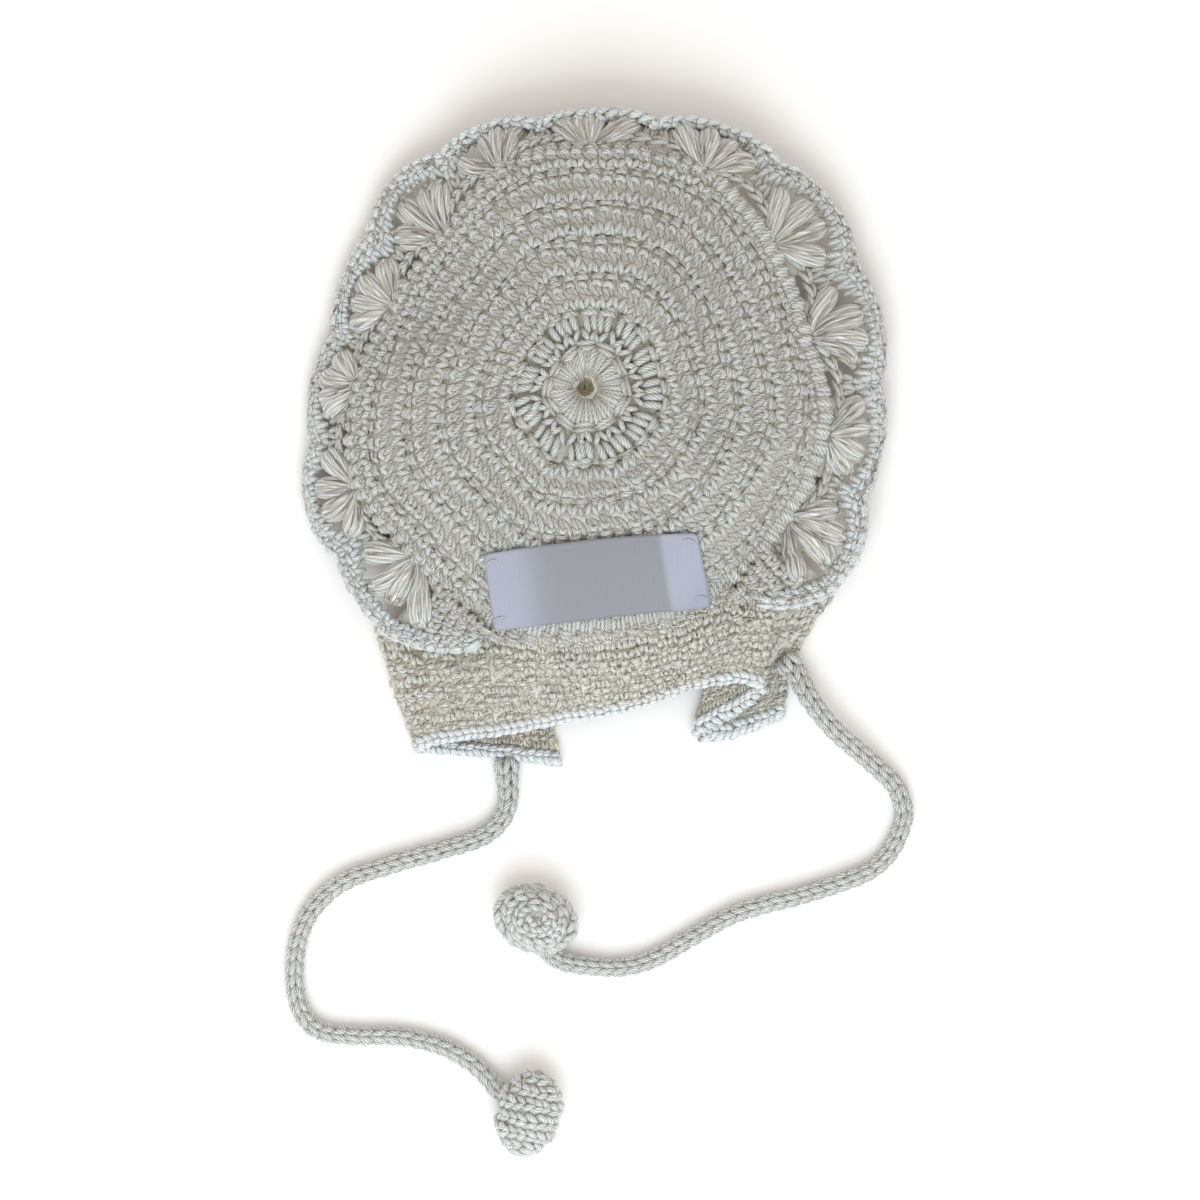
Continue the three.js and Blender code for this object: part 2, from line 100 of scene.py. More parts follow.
# The fans of the frill: angle, reach beyond the rim, height of the outer fold, how far the edge
# turns back over it, and height of the edge.
FANS = np.array([
    (-134, 19, 14, 0, 12.8), (-113, 14, 7, 0, 3.6), (-89, 11.5, 5, 0, 3), (-67, 15, 3.8, 0, 4.2),
    (-43, 20, 5, 0, 6), (-22, 13.5, 6, 1.5, 14), (0, 13, 3, 4.5, 20), (28, 14, 8, 1.5, 15),
    (52, 19.6, 8, 0, 8), (77, 19.4, 8, 0, 7), (101, 14.6, 6, 0, 6), (123, 21, 11, 0, 11.5),
]) / (1, 1000, 1000, 1000, 1000)
FAN_AT, FAN_REACH, FAN_BELLY, FAN_BACK, FAN_EDGE = range(5)
FAN_LINES = np.concatenate([
    [FRILL_START], (FANS[1:, FAN_AT] + FANS[:-1, FAN_AT]) / 2, [FRILL_END],
])

# Sections of the neck band from its left front end to its right front end: top edge, middle and
# lower edge. A single number is an angle where the top edge is the rim's.
BAND = [
    [(-14, -70.5, 1.6), (-11.5, -88, 1.5), (-8.5, -104.5, 1.9)],
    [(-30, -69, 1.4), (-25, -87, 1.4), (-24, -102.3, 1.8)],
    [(-46, -68, 1.6), (-40, -86, 1.6), (-37.5, -101.2, 1.8)],
    [(-55.5, -67.4, 2.2), (-50, -85.5, 2.2), (-44.5, -100.8, 2.2)],
    [(-58.5, -67.2, 4.8), (-53, -85, 4.8), (-47, -100.3, 4.6)],
    [(-55, -67, 7.6), (-49.5, -84.5, 7.6), (-44.5, -98.6, 7.2)],
    [(-46, -66.8, 10.6), (-41, -83.5, 10), (-36, -97, 8.8)],
    [(-28.5, -66.6, 13.6), (-22, -81.5, 12.9), (-19.5, -94.5, 10)],
    [190, (-9, -80.5, 14.2), (-5.6, -91.5, 10.4)],
    [175, (9, -79.5, 14), (10, -88.5, 10.4)],
    [160, (25.5, -76, 13), (25, -83, 10.2)],
    [149, (37.5, -70, 12.6), (37.5, -81, 10.2)],
    [(46, -58.8, 13), (45.5, -69, 11.8), (44.5, -81.5, 9.8)],
    [(50, -58.5, 12), (48.5, -70, 9.6), (47.3, -84.5, 7.8)],
    [(52.5, -58.4, 11), (44.5, -72, 7.2), (41.5, -89.5, 6)],
    [(54.5, -58.2, 10), (36, -76, 4.6), (30.4, -96, 4)],
    [(57.5, -58, 8.6), (44, -76.5, 2.4), (38, -97.2, 1.9)],
    [(67, -58, 4.2), (57, -75, 1.6), (54, -91, 1.8)],
]

# Corners of the label: top left, top right, bottom right, bottom left.
LABEL_CORNERS = np.array([
    (-28.6, -45.4), (29.1, -39.5), (32.2, -59.1), (-26, -66.1),
]) / 1000

# The ties, from the band to the ball, in metres. Where nothing lifts them, they lie on the floor.
LYING = CORD_DIAMETER / 2
TIE_LEFT = np.array([
    (-0.0235, -0.1032, LYING), (-0.023, -0.1105, LYING), (-0.0234, -0.1175, LYING),
    (-0.029, -0.124, LYING), (-0.042, -0.1285, LYING), (-0.056, -0.1325, LYING),
    (-0.0686, -0.137, LYING), (-0.077, -0.144, LYING), (-0.0815, -0.153, LYING),
    (-0.0826, -0.165, LYING), (-0.0805, -0.174, LYING), (-0.0756, -0.179, LYING),
    (-0.066, -0.1803, LYING), (-0.0532, -0.1805, LYING), (-0.042, -0.183, LYING),
    (-0.0336, -0.1873, LYING), (-0.0282, -0.1922, 0.0032), (-0.0256, -0.1958, 0.0046),
    (-0.0222, -0.1974, 0.0062),
])
TIE_RIGHT = np.array([
    (0.0542, -0.0752, 0.0042), (0.0578, -0.0791, 0.0046), (0.0606, -0.0848, 0.006),
    (0.0669, -0.0935, 0.0066), (0.0767, -0.1022, 0.0046), (0.0846, -0.1094, 0.003),
    (0.0872, -0.1145, LYING), (0.0876, -0.1201, LYING), (0.084, -0.1286, LYING),
    (0.0784, -0.1341, LYING), (0.0686, -0.138, LYING), (0.0588, -0.1411, LYING),
    (0.049, -0.1436, LYING), (0.0392, -0.1467, LYING), (0.028, -0.153, LYING),
    (0.0168, -0.1592, LYING), (0.0084, -0.1612, LYING), (0, -0.1609, LYING),
    (-0.0065, -0.1599, 0.003), (-0.011, -0.158, 0.0042), (-0.0124, -0.1542, 0.0062),
])


# ---- Where the magic ring lies in the frame ----
def magic_ring():
    """The left ball is symmetrical, so its box gives the place of its centre."""
    low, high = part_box("tie_ball_left")
    centre = (low + high) / 2
    return np.array([centre.x - BALL_LEFT["x"], centre.y - BALL_LEFT["y"], 0])


RING = magic_ring()


# ---- Camera, light and floor ----
def new_object(name, data):
    made = bpy.data.objects.new(name, data)
    bpy.context.collection.objects.link(made)
    return made


def camera():
    """Looks straight down from high above, with the top of the head away from the viewer."""
    distance = 1.5
    field = 0.336  # width of what it sees at the floor
    aside, ahead = 0.0028, -0.0585  # from the magic ring to the middle of the picture
    data = bpy.data.cameras.new("camera")
    data.lens = data.sensor_width * distance / field
    eye = new_object("camera", data)
    eye.location = (RING[0] + aside, RING[1] + ahead, distance)
    bpy.context.scene.camera = eye


def key_light():
    """One large soft lamp beyond the ties, cooler than the sky."""
    place = (-0.02, -0.60, 0.72)
    data = bpy.data.lights.new("key", "AREA")
    data.size = 0.7
    data.energy = 5.4
    data.color = (0.80, 0.91, 1.0)
    lamp = new_object("key", data)
    lamp.location = place
    lamp.rotation_euler = Vector(place).to_track_quat("Z", "Y").to_euler()


def sky_light():
    world = bpy.data.worlds.new("studio")
    world.use_nodes = True
    sky = world.node_tree.nodes["Background"]
    sky.inputs["Color"].default_value = (1.0, 0.958, 0.905, 1)
    sky.inputs["Strength"].default_value = 0.85
    bpy.context.scene.world = world
    bpy.context.scene.view_settings.view_transform = "Standard"


def floor():
    size = 4
    mesh = bpy.data.meshes.new("floor")
    corners = [(-size, -size, 0), (size, -size, 0), (size, size, 0), (-size, size, 0)]
    mesh.from_pydata(corners, [], [(0, 1, 2, 3)])
    ground = new_object("floor", mesh)
    paint, finish = new_material("floor")
    plug(paint, finish, {"Base Color": (0.97, 0.95, 0.94, 1), "Roughness": 0.9})
    mesh.materials.append(paint)


# ---- Curves and surfaces ----
def hermite(before, low, high, after, t):
    """Catmull-Rom value at a share t of the way from low to high."""
    t2 = t * t
    t3 = t2 * t
    return (
        low * (2 * t3 - 3 * t2 + 1)
        + (high - before) / 2 * (t3 - 2 * t2 + t)
        + high * (3 * t2 - 2 * t3)
        + (after - low) / 2 * (t3 - t2)
    )


def along_points(points, share):
    """Catmull-Rom curve through points, at shares from 0 to 1 of its count of spans."""
    points = np.asarray(points, float)
    last = len(points) - 1
    place = np.clip(np.asarray(share, float), 0, 1) * last
    row = np.minimum(place.astype(int), last - 1)
    t = (place - row)[..., None]
    start = 2 * points[0] - points[1]
    end = 2 * points[last] - points[last - 1]
    padded = np.concatenate([[start], points, [end]])
    return hermite(padded[row], padded[row + 1], padded[row + 2], padded[row + 3], t)


def polar(at, radius, height):
    turn = np.radians(at)
    return np.stack(np.broadcast_arrays(radius * np.sin(turn), radius * np.cos(turn), height), -1)


def table_value(table, at, column):
    """Smooth value of a table's column at an angle. The angles are in its first column."""
    last = len(table) - 1
    row = np.clip(np.searchsorted(table[:, 0], at, side="right") - 1, 0, last - 1)
    t = (at - table[row, 0]) / (table[row + 1, 0] - table[row, 0])
    value = [table[np.clip(row + step, 0, last), column] for step in (-1, 0, 1, 2)]
    return hermite(*value, t)


def rim_value(at, column):
    return table_value(WHOLE_RIM, np.mod(at, 360), column)


def fan_value(at, column):
    return table_value(FANS, np.clip(at, FANS[0, FAN_AT], FANS[-1, FAN_AT]), column)


def crease_depth(x, y):
    depth = 0
    for start_x, start_y, end_x, end_y, deep, width in CREASES:
        run_x = end_x - start_x
        run_y = end_y - start_y
        share = ((x - start_x) * run_x + (y - start_y) * run_y) / (run_x ** 2 + run_y ** 2)
        near = np.clip(share, 0, 1)
        away = np.hypot(x - start_x - near * run_x, y - start_y - near * run_y)
        depth = depth + deep * np.exp(-((away / width) ** 2))
    return depth


def crown_point(at, share):
    """Middle of the crown's fabric at an angle and a share of the way to its rim."""
    rim = rim_value(at, RIM_HEIGHT)
    place = polar(at, share * rim_value(at, RIM_RADIUS), 0.0)
    rise = (CROWN_TOP - rim) * (1 - np.abs(share) ** DOME_POWER)
    place[..., 2] = rim + rise - crease_depth(place[..., 0], place[..., 1])
    return place


def rim_slope(at):
    """Downward slope of the crown at its rim, as (outward, up) of length 1."""
    step = 0.02
    fall = crown_point(at, 1)[..., 2] - crown_point(at, 1 - step)[..., 2]
    run = step * rim_value(at, RIM_RADIUS)
    length = np.hypot(run, fall)
    return run / length, fall / length


def bezier(a, b, c, d, t):
    return a * (1 - t) ** 3 + 3 * b * t * (1 - t) ** 2 + 3 * c * t ** 2 * (1 - t) + d * t ** 3


def crown_surface(u, v):
    """The crown's fabric; its first rounds lie a little to the left of the others."""
    place = crown_point(360 * u, v)
    place[..., 0] -= 0.0015 * np.maximum(0, 1 - v / 0.35)
    return place


def wall_surface(u, v):
    """Side wall: hangs from the rim, turns under and lies flat to the face edge."""
    at = WALL_START + (WALL_END - WALL_START) * u
    near = [np.exp(-(((at - end) / WALL_END_REACH) ** 2)) for end in (WALL_START, WALL_END)]
    spread = WALL_SPREAD + WALL_SPREAD_MORE * (near[0] + near[1])
    start = rim_value(at, RIM_RADIUS) - WALL_INSET
    top = crown_point(at, 1)[..., 2] - WALL_DROP
    lie = WALL_LIES
    turned = start + spread - 0.004
    used = rim_value(at, RIM_HEIGHT) - CROWN_THICKNESS + 1.55 * spread
    flat = np.maximum(WALL_FLAT_LEAST, WALL_DEPTH - used)
    t = np.minimum(v / WALL_BEND, 1)
    beyond = np.maximum(v - WALL_BEND, 0) / (1 - WALL_BEND)
    radius = bezier(start, start + 0.9 * spread, start + spread + 0.003, turned, t)
    height = bezier(top, top * 0.55 + lie * 0.45, lie, lie, t)
    return polar(at, radius - flat * beyond, height)


def from_fan_middle(at):
    """From 0 in the middle of a fan to 1 at the notches on both sides of it."""
    fan = np.clip(np.searchsorted(FAN_LINES, at, side="right") - 1, 0, len(FANS) - 1)
    middle = FANS[fan, FAN_AT]
    half = np.where(at < middle, middle - FAN_LINES[fan], FAN_LINES[fan + 1] - middle)
    return np.minimum(1, np.abs(at - middle) / half)


def frill_at(u):
    return FRILL_START + (FRILL_END - FRILL_START) * u


def frill_u(at):
    return (at - FRILL_START) / (FRILL_END - FRILL_START)


def frill_surface(u, v):
    """Frill, from its left end at u = 0 and from the crown's rim at v = 0 to its edge."""
    at = frill_at(u)
    rim = crown_point(at, 1)[..., 2]
    radius = rim_value(at, RIM_RADIUS)
    outward, up = rim_slope(at)
    aside = from_fan_middle(at)
    scallop = SCALLOP_DEPTH * (1 - np.sqrt(np.maximum(0, 1 - aside ** 2)))
    left = (at - FRILL_START + 2) / FRILL_START_TAPER
    right = (FRILL_END - at + 2) / FRILL_END_TAPER
    ends = np.clip(np.minimum(left, right), 0.02, 1)
    grown = np.sqrt(ends)
    reach = (fan_value(at, FAN_REACH) - scallop) * grown
    end_lift = FRILL_END_LIFT * (1 - ends ** 2)
    lift = SCALLOP_WAVE * aside ** 2 + end_lift
    root = FRILL_GAP + 0.15 * end_lift
    fall = 0.35 * reach
    belly = rim + (fan_value(at, FAN_BELLY) - rim) * grown + lift
    edge = rim + (fan_value(at, FAN_EDGE) - rim) * grown + lift
    back = fan_value(at, FAN_BACK)
    across = bezier(
        radius + root * outward, radius + (root + fall) * outward,
        radius + reach, radius + reach - back, v,
    )
    height = bezier(
        rim + root * up + end_lift, rim + (root + fall) * up + end_lift, belly, edge, v,
    )
    return polar(at, across, height)


def band_curves():
    """Curves along the band's top edge, its middle and its lower edge."""
    tops = []
    for top, _, _ in BAND:
        if isinstance(top, tuple):
            tops.append(np.array(top) / 1000)
        else:
            outward, up = rim_slope(top)
            height = crown_point(top, 1)[..., 2] + BAND_GAP * up
            tops.append(polar(top, rim_value(top, RIM_RADIUS) + BAND_GAP * outward, height))
    return [np.array(tops)] + [np.array([row[k] for row in BAND]) / 1000 for k in (1, 2)]


BAND_CURVES = band_curves()


def band_surface(u, v):
    """Neck band, from its left front end at u = 0 and from its top edge at v = 0."""
    top, middle, edge = (along_points(curve, u) for curve in BAND_CURVES)
    v = np.asarray(v, float)[..., None]
    return top * (1 - v) * (1 - 2 * v) + middle * 4 * v * (1 - v) + edge * v * (2 * v - 1)


def unit(vectors):
    return vectors / np.maximum(np.linalg.norm(vectors, axis=-1, keepdims=True), 1e-12)


def normal_of(surface, u, v, side=1):
    """Outer normals of a surface, or those of its other side."""
    step = 1e-4
    along_u = surface(u + step, v) - surface(u - step, v)
    along_v = surface(u, v + step) - surface(u, v - step)
    return unit(np.cross(along_u, along_v)) * side


def raised(surface, u, v, height, side=1):
    """Points of a surface, moved along its outer normal."""
    u, v, height = np.broadcast_arrays(u, v, height)
    return surface(u, v) + normal_of(surface, u, v, side) * height[..., None]


def lengths(lines):
    """Length from the start of each line to each of its points."""
    steps = np.linalg.norm(np.diff(lines, axis=-2), axis=-1)
    return np.concatenate([np.zeros_like(steps[..., :1]), np.cumsum(steps, axis=-1)], axis=-1)


def even_shares(surface, v, count):
    """Values of u that part the surface at v into count stretches of equal length."""
    fine = np.linspace(0, 1, 1200)
    length = lengths(surface(fine, np.full_like(fine, v)))
    return np.interp(np.linspace(0, length[-1], count + 1), length, fine)


def middles(count):
    """The middles of count equal shares of 1."""
    return (np.arange(count) + 0.5) / count


def cross_directions(paths):
    """Two directions across each path, turned as little as possible from step to step."""
    ahead = unit(np.gradient(paths, axis=1))
    across = np.zeros_like(paths)
    first = np.where(np.abs(ahead[:, 0, 2:3]) < 0.9, [[0, 0, 1.0]], [[1.0, 0, 0]])
    for k in range(paths.shape[1]):
        first = unit(first - np.sum(first * ahead[:, k], -1, keepdims=True) * ahead[:, k])
        across[:, k] = first
    return across, np.cross(ahead, across)


# ---- Strands of yarn ----
# Heights over the fabric between which a strand's colour goes from its shaded sides' to its top's.
# The sides' colour is painted bounce light: lighter and warmer, for light passed between strands.
DEEP = -0.0006
HIGH = 0.0019
SHEET_LIFT = 0.55  # the lift of the sheets between the strands
TINT_SPREAD = 0.16


def twist_map(paths, sides, stretch):
    """Places in the UV map of the quads round each path: turns round it, and metres along it."""
    length = lengths(paths) / stretch + RANDOM.random((len(paths), 1)) * 0.01
    low = np.broadcast_to(np.arange(sides) / sides, (*length[:, 1:].shape, sides))
    high = low + 1 / sides
    here = np.broadcast_to(length[:, :-1, None], low.shape)
    there = np.broadcast_to(length[:, 1:, None], low.shape)
    corners = [(low, here), (high, here), (high, there), (low, there)]
    return np.stack([np.stack(corner, -1) for corner in corners], -2)


def fill(layer, kind, values):
    layer.data.foreach_set(kind, np.concatenate(values).astype(np.float32).reshape(-1))


class Strands:
    """Strands gathered into one mesh, with the yarn's twist in a UV map. The attribute tint tells
    strands apart, and lift is 0 on what lies deep in the fabric and 1 on its top; the material
    paints bounce light where lift is low and glints where it is high."""

    def __init__(self):
        self.points, self.quads, self.caps = [], [], []
        self.uvs, self.tints, self.lifts = [], [], []
        self.count = 0

    def gather(self, points, quads, uvs, tints, lifts):
        self.points.append(points.reshape(-1, 3))
        self.quads.append(quads.reshape(-1, 4))
        self.uvs.append(uvs.reshape(-1, 2))
        self.tints.append(tints.reshape(-1))
        self.lifts.append(lifts.reshape(-1))
        self.count += points.size // 3

    def add(self, paths, radius=YARN, sides=6, tint=0.5, height=None, normal=None, stretch=1):
        """Sweeps a ring along each of many paths with the same number of points, and keeps it
        above the floor. Where the height of the paths over the fabric and its normal are given,
        what lies deep below takes the painted bounce light and the top the painted glints; without
        them the whole strand counts as top. Stretch draws out the twist of the plies."""
        paths = np.asarray(paths, float)
        strands, steps, _ = paths.shape
        radius = np.broadcast_to(np.asarray(radius, float), (strands, steps))[..., None]
        paths = np.concatenate([paths[..., :2], np.maximum(paths[..., 2:], radius)], -1)
        across, third = cross_directions(paths)
        turn = (2 * np.pi * np.arange(sides) / sides)[:, None]
        ring = across[:, :, None] * np.cos(turn) + third[:, :, None] * np.sin(turn)
        points = paths[:, :, None] + ring * radius[..., None]
        index = np.arange(strands * steps * sides).reshape(strands, steps, sides) + self.count
        following = np.roll(index, -1, axis=2)
        quads = [index[:, :-1], following[:, :-1], following[:, 1:], index[:, 1:]]
        self.caps += [index[:, 0, ::-1], index[:, -1]]
        uvs = twist_map(paths, sides, stretch)
        shade = np.broadcast_to(tint, (strands,)) + RANDOM.normal(0, TINT_SPREAD, strands)
        shade = np.repeat(np.clip(shade, 0, 1), steps * sides)
        # Lift: painted bounce light on the sides deep in the fabric, painted glints on the top.
        lift = np.ones((strands, steps, sides))
        if normal is not None:
            above = height[:, :, None] + np.sum(ring * normal[:, :, None], -1) * radius
            lift = np.clip((above - DEEP) / (HIGH - DEEP), 0, 1)
        self.gather(points, np.stack(quads, -1), uvs, shade, lift)

    def sheet(self, points, closed=False, tint=0.3):
        """A closed sheet from two layers of points (layer, u, v), joined in u where closed."""
        _, rows, columns, _ = points.shape
        index = np.arange(2 * rows * columns).reshape(2, rows, columns) + self.count
        if closed:
            index = np.concatenate([index, index[:, :1]], axis=1)
        top, under = index
        faces = [
            (top[:-1, :-1], top[1:, :-1], top[1:, 1:], top[:-1, 1:]),
            (under[:-1, :-1], under[:-1, 1:], under[1:, 1:], under[1:, :-1]),
            (top[:-1, 0], under[:-1, 0], under[1:, 0], top[1:, 0]),
            (top[:-1, -1], top[1:, -1], under[1:, -1], under[:-1, -1]),
        ]
        if not closed:
            faces.append((top[0, :-1], top[0, 1:], under[0, 1:], under[0, :-1]))
            faces.append((top[-1, :-1], under[-1, :-1], under[-1, 1:], top[-1, 1:]))
        quads = np.concatenate([np.stack(face, -1).reshape(-1, 4) for face in faces])
        shade = np.broadcast_to(tint, (2, rows, columns))
        self.gather(points, quads, np.zeros((quads.size, 2)), shade, np.full(shade.size, SHEET_LIFT))

    def mesh(self, name):
        mesh = bpy.data.meshes.new(name)
        faces = [face for group in self.quads + self.caps for face in group.tolist()]
        mesh.from_pydata(np.concatenate(self.points) + RING, [], faces)
        uvs = self.uvs + [np.zeros((cap.size, 2)) for cap in self.caps]
        fill(mesh.uv_layers.new(name="yarn"), "uv", uvs)
        fill(mesh.attributes.new("tint", "FLOAT", "POINT"), "value", self.tints)
        fill(mesh.attributes.new("lift", "FLOAT", "POINT"), "value", self.lifts)
        mesh.shade_smooth()
        return mesh

    def piece(self, name, nodes, slot, finish):
        """Builds the mesh, lets it ride on the root and stand for the CAD nodes."""
        mesh = self.mesh(name)
        mesh.materials.append(finish)
        made = new_object(name, mesh)
        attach(made, "root")
        if nodes:
            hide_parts(*nodes)
        return made


def jitter(shape, amount):
    return RANDOM.normal(0, amount, shape)


# How uneven the stitches are, in shares of their width or height, and of how far they stand out.
SHIFT, LEAN, RISE, SWELL = 0.06, 0.08, 0.04, 0.14
STRAND_ACROSS, STRAND_UP, STRAND_THICK = 0.03, 0.02, 0.06
STRAND_OUT = 0.00007
# Painted highlight: how much lighter a strand is painted that stands out further than most do.
MOST_STAND_OUT = 0.0008
PAINTED_LIGHT_BY_HEIGHT = 500


def stitches(yarn, surface, strands, u, width, v, height, relief=1.0, side=1, radius=YARN, sides=6,
             tint=0.5, shaded=True, loose=1.0):
    """Works the strands of a stitch at many places. u and v are where each stitch starts, width and
    height its size in u and v. Relief scales how far it stands out, and loose how uneven it is."""
    count = len(u)
    width, v, height = (np.broadcast_to(each, count)[:, None] for each in (width, v, height))
    shift, lean, rise, swell = (jitter((count, 1), k * loose) for k in (SHIFT, LEAN, RISE, SWELL))
    for strand in strands:
        across, up, out, thick = strand.T[:, None, :]
        across = across + shift + lean * (up - 0.5) + jitter((count, 1), STRAND_ACROSS)
        up = up + rise + jitter((count, 1), STRAND_UP)
        out = out * relief * (1 + swell) + jitter((count, 1), STRAND_OUT)
        at_u = u[:, None] + across * width
        at_v = v + up * height
        normal = normal_of(surface, at_u, at_v, side)
        places = surface(at_u, at_v) + normal * out[..., None]
        thickness = radius * thick * (1 + jitter((count, 1), STRAND_THICK))
        # Painted highlight on strands that stand out. Shaded paints bounce light on their sides;
        # without it the whole strand takes the top colour and its painted glints.
        shade = tint + PAINTED_LIGHT_BY_HEIGHT * (np.max(strand[:, 2]) - MOST_STAND_OUT)
        yarn.add(places, thickness, sides, shade, out, normal if shaded else None)


# Stitches, as strands whose points are: across in hundredths of the stitch's width, up in
# hundredths of its height, out in tenths of a millimetre, and thickness in tenths.
STITCH_UNITS = np.array([0.01, 0.01, 0.0001, 0.1])


def worked(steps, *points):
    """One strand of a stitch, smoothed to a number of steps."""
    return along_points(np.array(points) * STITCH_UNITS, np.linspace(0, 1, steps))


# Double crochet: a V at the foot, two plump strands that lean back over it, a loop hooked round
# them, and a sunken chain on top.
DOUBLE = [
    worked(8, (-54, 38, -6, 6), (-47, 31, 5, 8), (-34, 20, 13, 9), (-19, 10, 12, 9),
           (-8, 2, 4, 8), (-3, -7, -8, 6)),
    worked(8, (50, 38, -6, 6), (43, 32, 5, 8), (31, 21, 13, 9), (18, 11, 12, 9), (9, 3, 4, 8),
           (6, -7, -8, 6)),
    worked(10, (84, 24, -8, 5), (66, 31, -3, 8), (42, 39, 1, 11), (17, 50, 3, 13),
           (-3, 63, 3, 14), (-16, 76, 1, 13), (-24, 90, -6, 8)),
    worked(10, (48, 25, -8, 5), (30, 32, -3, 8), (7, 40, 1, 11), (-22, 51, 3, 13),
           (-46, 64, 3, 14), (-60, 77, 1, 13), (-66, 91, -6, 8)),
    worked(8, (-46, 52, -3, 6), (-36, 62, 9, 8), (-18, 69, 14, 9), (4, 68, 14, 9),
           (22, 60, 9, 8), (34, 48, -3, 6)),
    worked(7, (-50, 78, -4, 7), (-30, 86, 5, 11), (-2, 89, 7, 12), (26, 87, 5, 11),
           (46, 82, -4, 7)),
    worked(6, (-36, 86, -5, 8), (-18, 96, 4, 11), (4, 101, 6, 12), (24, 98, 4, 11),
           (40, 88, -5, 8)),
]

# First round: plump strands from the magic ring, under a chain.
PETAL = [
    worked(10, (at, -12, -14, 8), (at, -2, 1, 8.5), (at + 1, 14, 10, 9.5),
           (at + 2, 34, 13, 11.5), (at + 3, 54, 11, 13), (at + 5, 72, 4, 12),
           (at + 6, 88, -6, 8))
    for at in (-36, -12, 13, 37)
] + [
    worked(8, (-56, 80, -3, 7), (-30, 75, 7, 11), (0, 72, 12, 12), (30, 76, 8, 11),
           (54, 84, -3, 8)),
    worked(8, (-52, 97, -3, 8), (-24, 92, 6, 11), (4, 90, 9, 12), (32, 94, 6, 11),
           (56, 100, -3, 8)),
]

# Second round: a V at the foot and two nearly upright posts.
UPRIGHT = DOUBLE[:2] + [
    worked(9, (at + 20, 24, -6, 6), (at + 15, 32, 3, 9), (at + 7, 44, 8, 11), (at, 60, 10, 12),
           (at - 4, 78, 6, 11), (at - 6, 92, -6, 8))
    for at in (-26, 18)
] + DOUBLE[5:]

# Edge of the crown: a round bead over each foot, curling over the rim.
BEAD = [
    worked(8, (side * 30, 30, -4, 8), (side * 34, 44, top * 0.6, 11), (side * 32, 66, top, 12.5),
           (side * 26, 88, top * 0.6, 12), (side * 20, 102, -6, 8))
    for side, top in ((-1, 7), (0, 13), (1, 7))
] + [
    worked(6, (side * 46, 36, -6, 7), (side * 32, 25, 5, 10), (side * 14, 12, 6, 10),
           (side * 4, 0, -6, 7))
    for side in (-1, 1)
]

# Single crochet: two short legs under a chain.
SINGLE = [
    worked(8, (-44, -10, -6, 7), (-36, 12, 3, 10), (-22, 42, 8, 11), (-6, 68, 5, 10),
           (0, 84, -2, 7)),
    worked(8, (40, -10, -6, 7), (34, 14, 3, 10), (22, 44, 8, 11), (12, 68, 5, 10), (8, 84, -2, 7)),
    worked(7, (-56, 92, -3, 6), (-34, 84, 5, 10), (0, 86, 9, 11), (32, 98, 6, 10),
           (52, 108, -3, 6)),
]

# Eyelet row: a thick post beside a hole, between bars of yarn.
EYELET = [
    worked(8, (at, -4, -8, 8), (at - 3, 15, 3, 10), (at, 45, 9, 11), (at + 3, 75, 6, 10),
           (at, 98, -4, 8))
    for at in (-38, -14, 12)
] + [
    worked(8, (-60, low, -3, 7), (-30, low + 6, 5, 10), (5, low + 4, 8, 11),
           (35, low - 3, 5, 10), (60, low, -3, 7))
    for low in (2, 15, 28, 68, 81, 94)
]

# Chain: across runs along it in links, and up from one side of it to the other.
CHAIN = [
    worked(9, (-80, 50 - 38 * side, -6, 7), (-50, 50 - 40 * side, 4, 10),
           (-10, 50 - 30 * side, 10, 11), (28, 50 - 12 * side, 11, 10), (56, 50, 3, 7),
           (70, 50 + 4 * side, -6, 5))
    for side in (1, -1)
]


def coarser(strands, share=0.7):
    """The same strands with fewer steps, for small stitches and hidden ones."""
    made = []
    for strand in strands:
        count = max(5, round(share * len(strand)))
        made.append(strand[np.linspace(0, len(strand) - 1, count).round().astype(int)])
    return made


def backing(yarn, surface, u, v, low, high, side=1, closed=False):
    """A thin closed sheet between the strands, so that no light falls through a dense row. v is the
    same for each u, or has a row for each."""
    u, v = np.broadcast_arrays(u[:, None], v)
    layers = [raised(surface, u, v, height, side) for height in (high, low)]
    yarn.sheet(np.stack(layers[::side]), closed)


# ---- Materials ----
# Colour of the painted highlight mixed into the yarn's base colour along the crests of its plies.
PAINTED_GLINT = (0.80, 0.88, 0.98)
PLIES = 6  # round a strand
PLY_STEP = 0.0013  # along a strand, from one ply to the next
PATCH_SCALE = 45
FIBRE_SCALE = 1800
THREAD_SCALE = 900


def new_material(name):
    paint = bpy.data.materials.new(name)
    paint.use_nodes = True
    return paint, paint.node_tree.nodes["Principled BSDF"]


def plug(paint, node, values):
    """Sets a node's inputs, or links them where the value is another node's output."""
    for name, value in values.items():
        if isinstance(value, bpy.types.NodeSocket):
            paint.node_tree.links.new(value, node.inputs[name])
        else:
            node.inputs[name].default_value = value


def new_node(paint, kind, values):
    node = paint.node_tree.nodes.new("ShaderNode" + kind)
    plug(paint, node, values)
    return node


def attribute(paint, name):
    node = new_node(paint, "Attribute", {})
    node.attribute_name = name
    return node.outputs["Fac"]


def noise(paint, place, scale):
    return new_node(paint, "TexNoise", {"Vector": place, "Scale": scale}).outputs["Fac"]


def blend(paint, value, start, end, reach=1.0):
    """A colour that goes from start to end while the value goes from 0 to reach."""
    node = new_node(paint, "ValToRGB", {"Fac": value})
    first, last = node.color_ramp.elements
    first.color = (*start, 1)
    last.color = (*end, 1)
    last.position = reach
    return node.outputs["Color"]


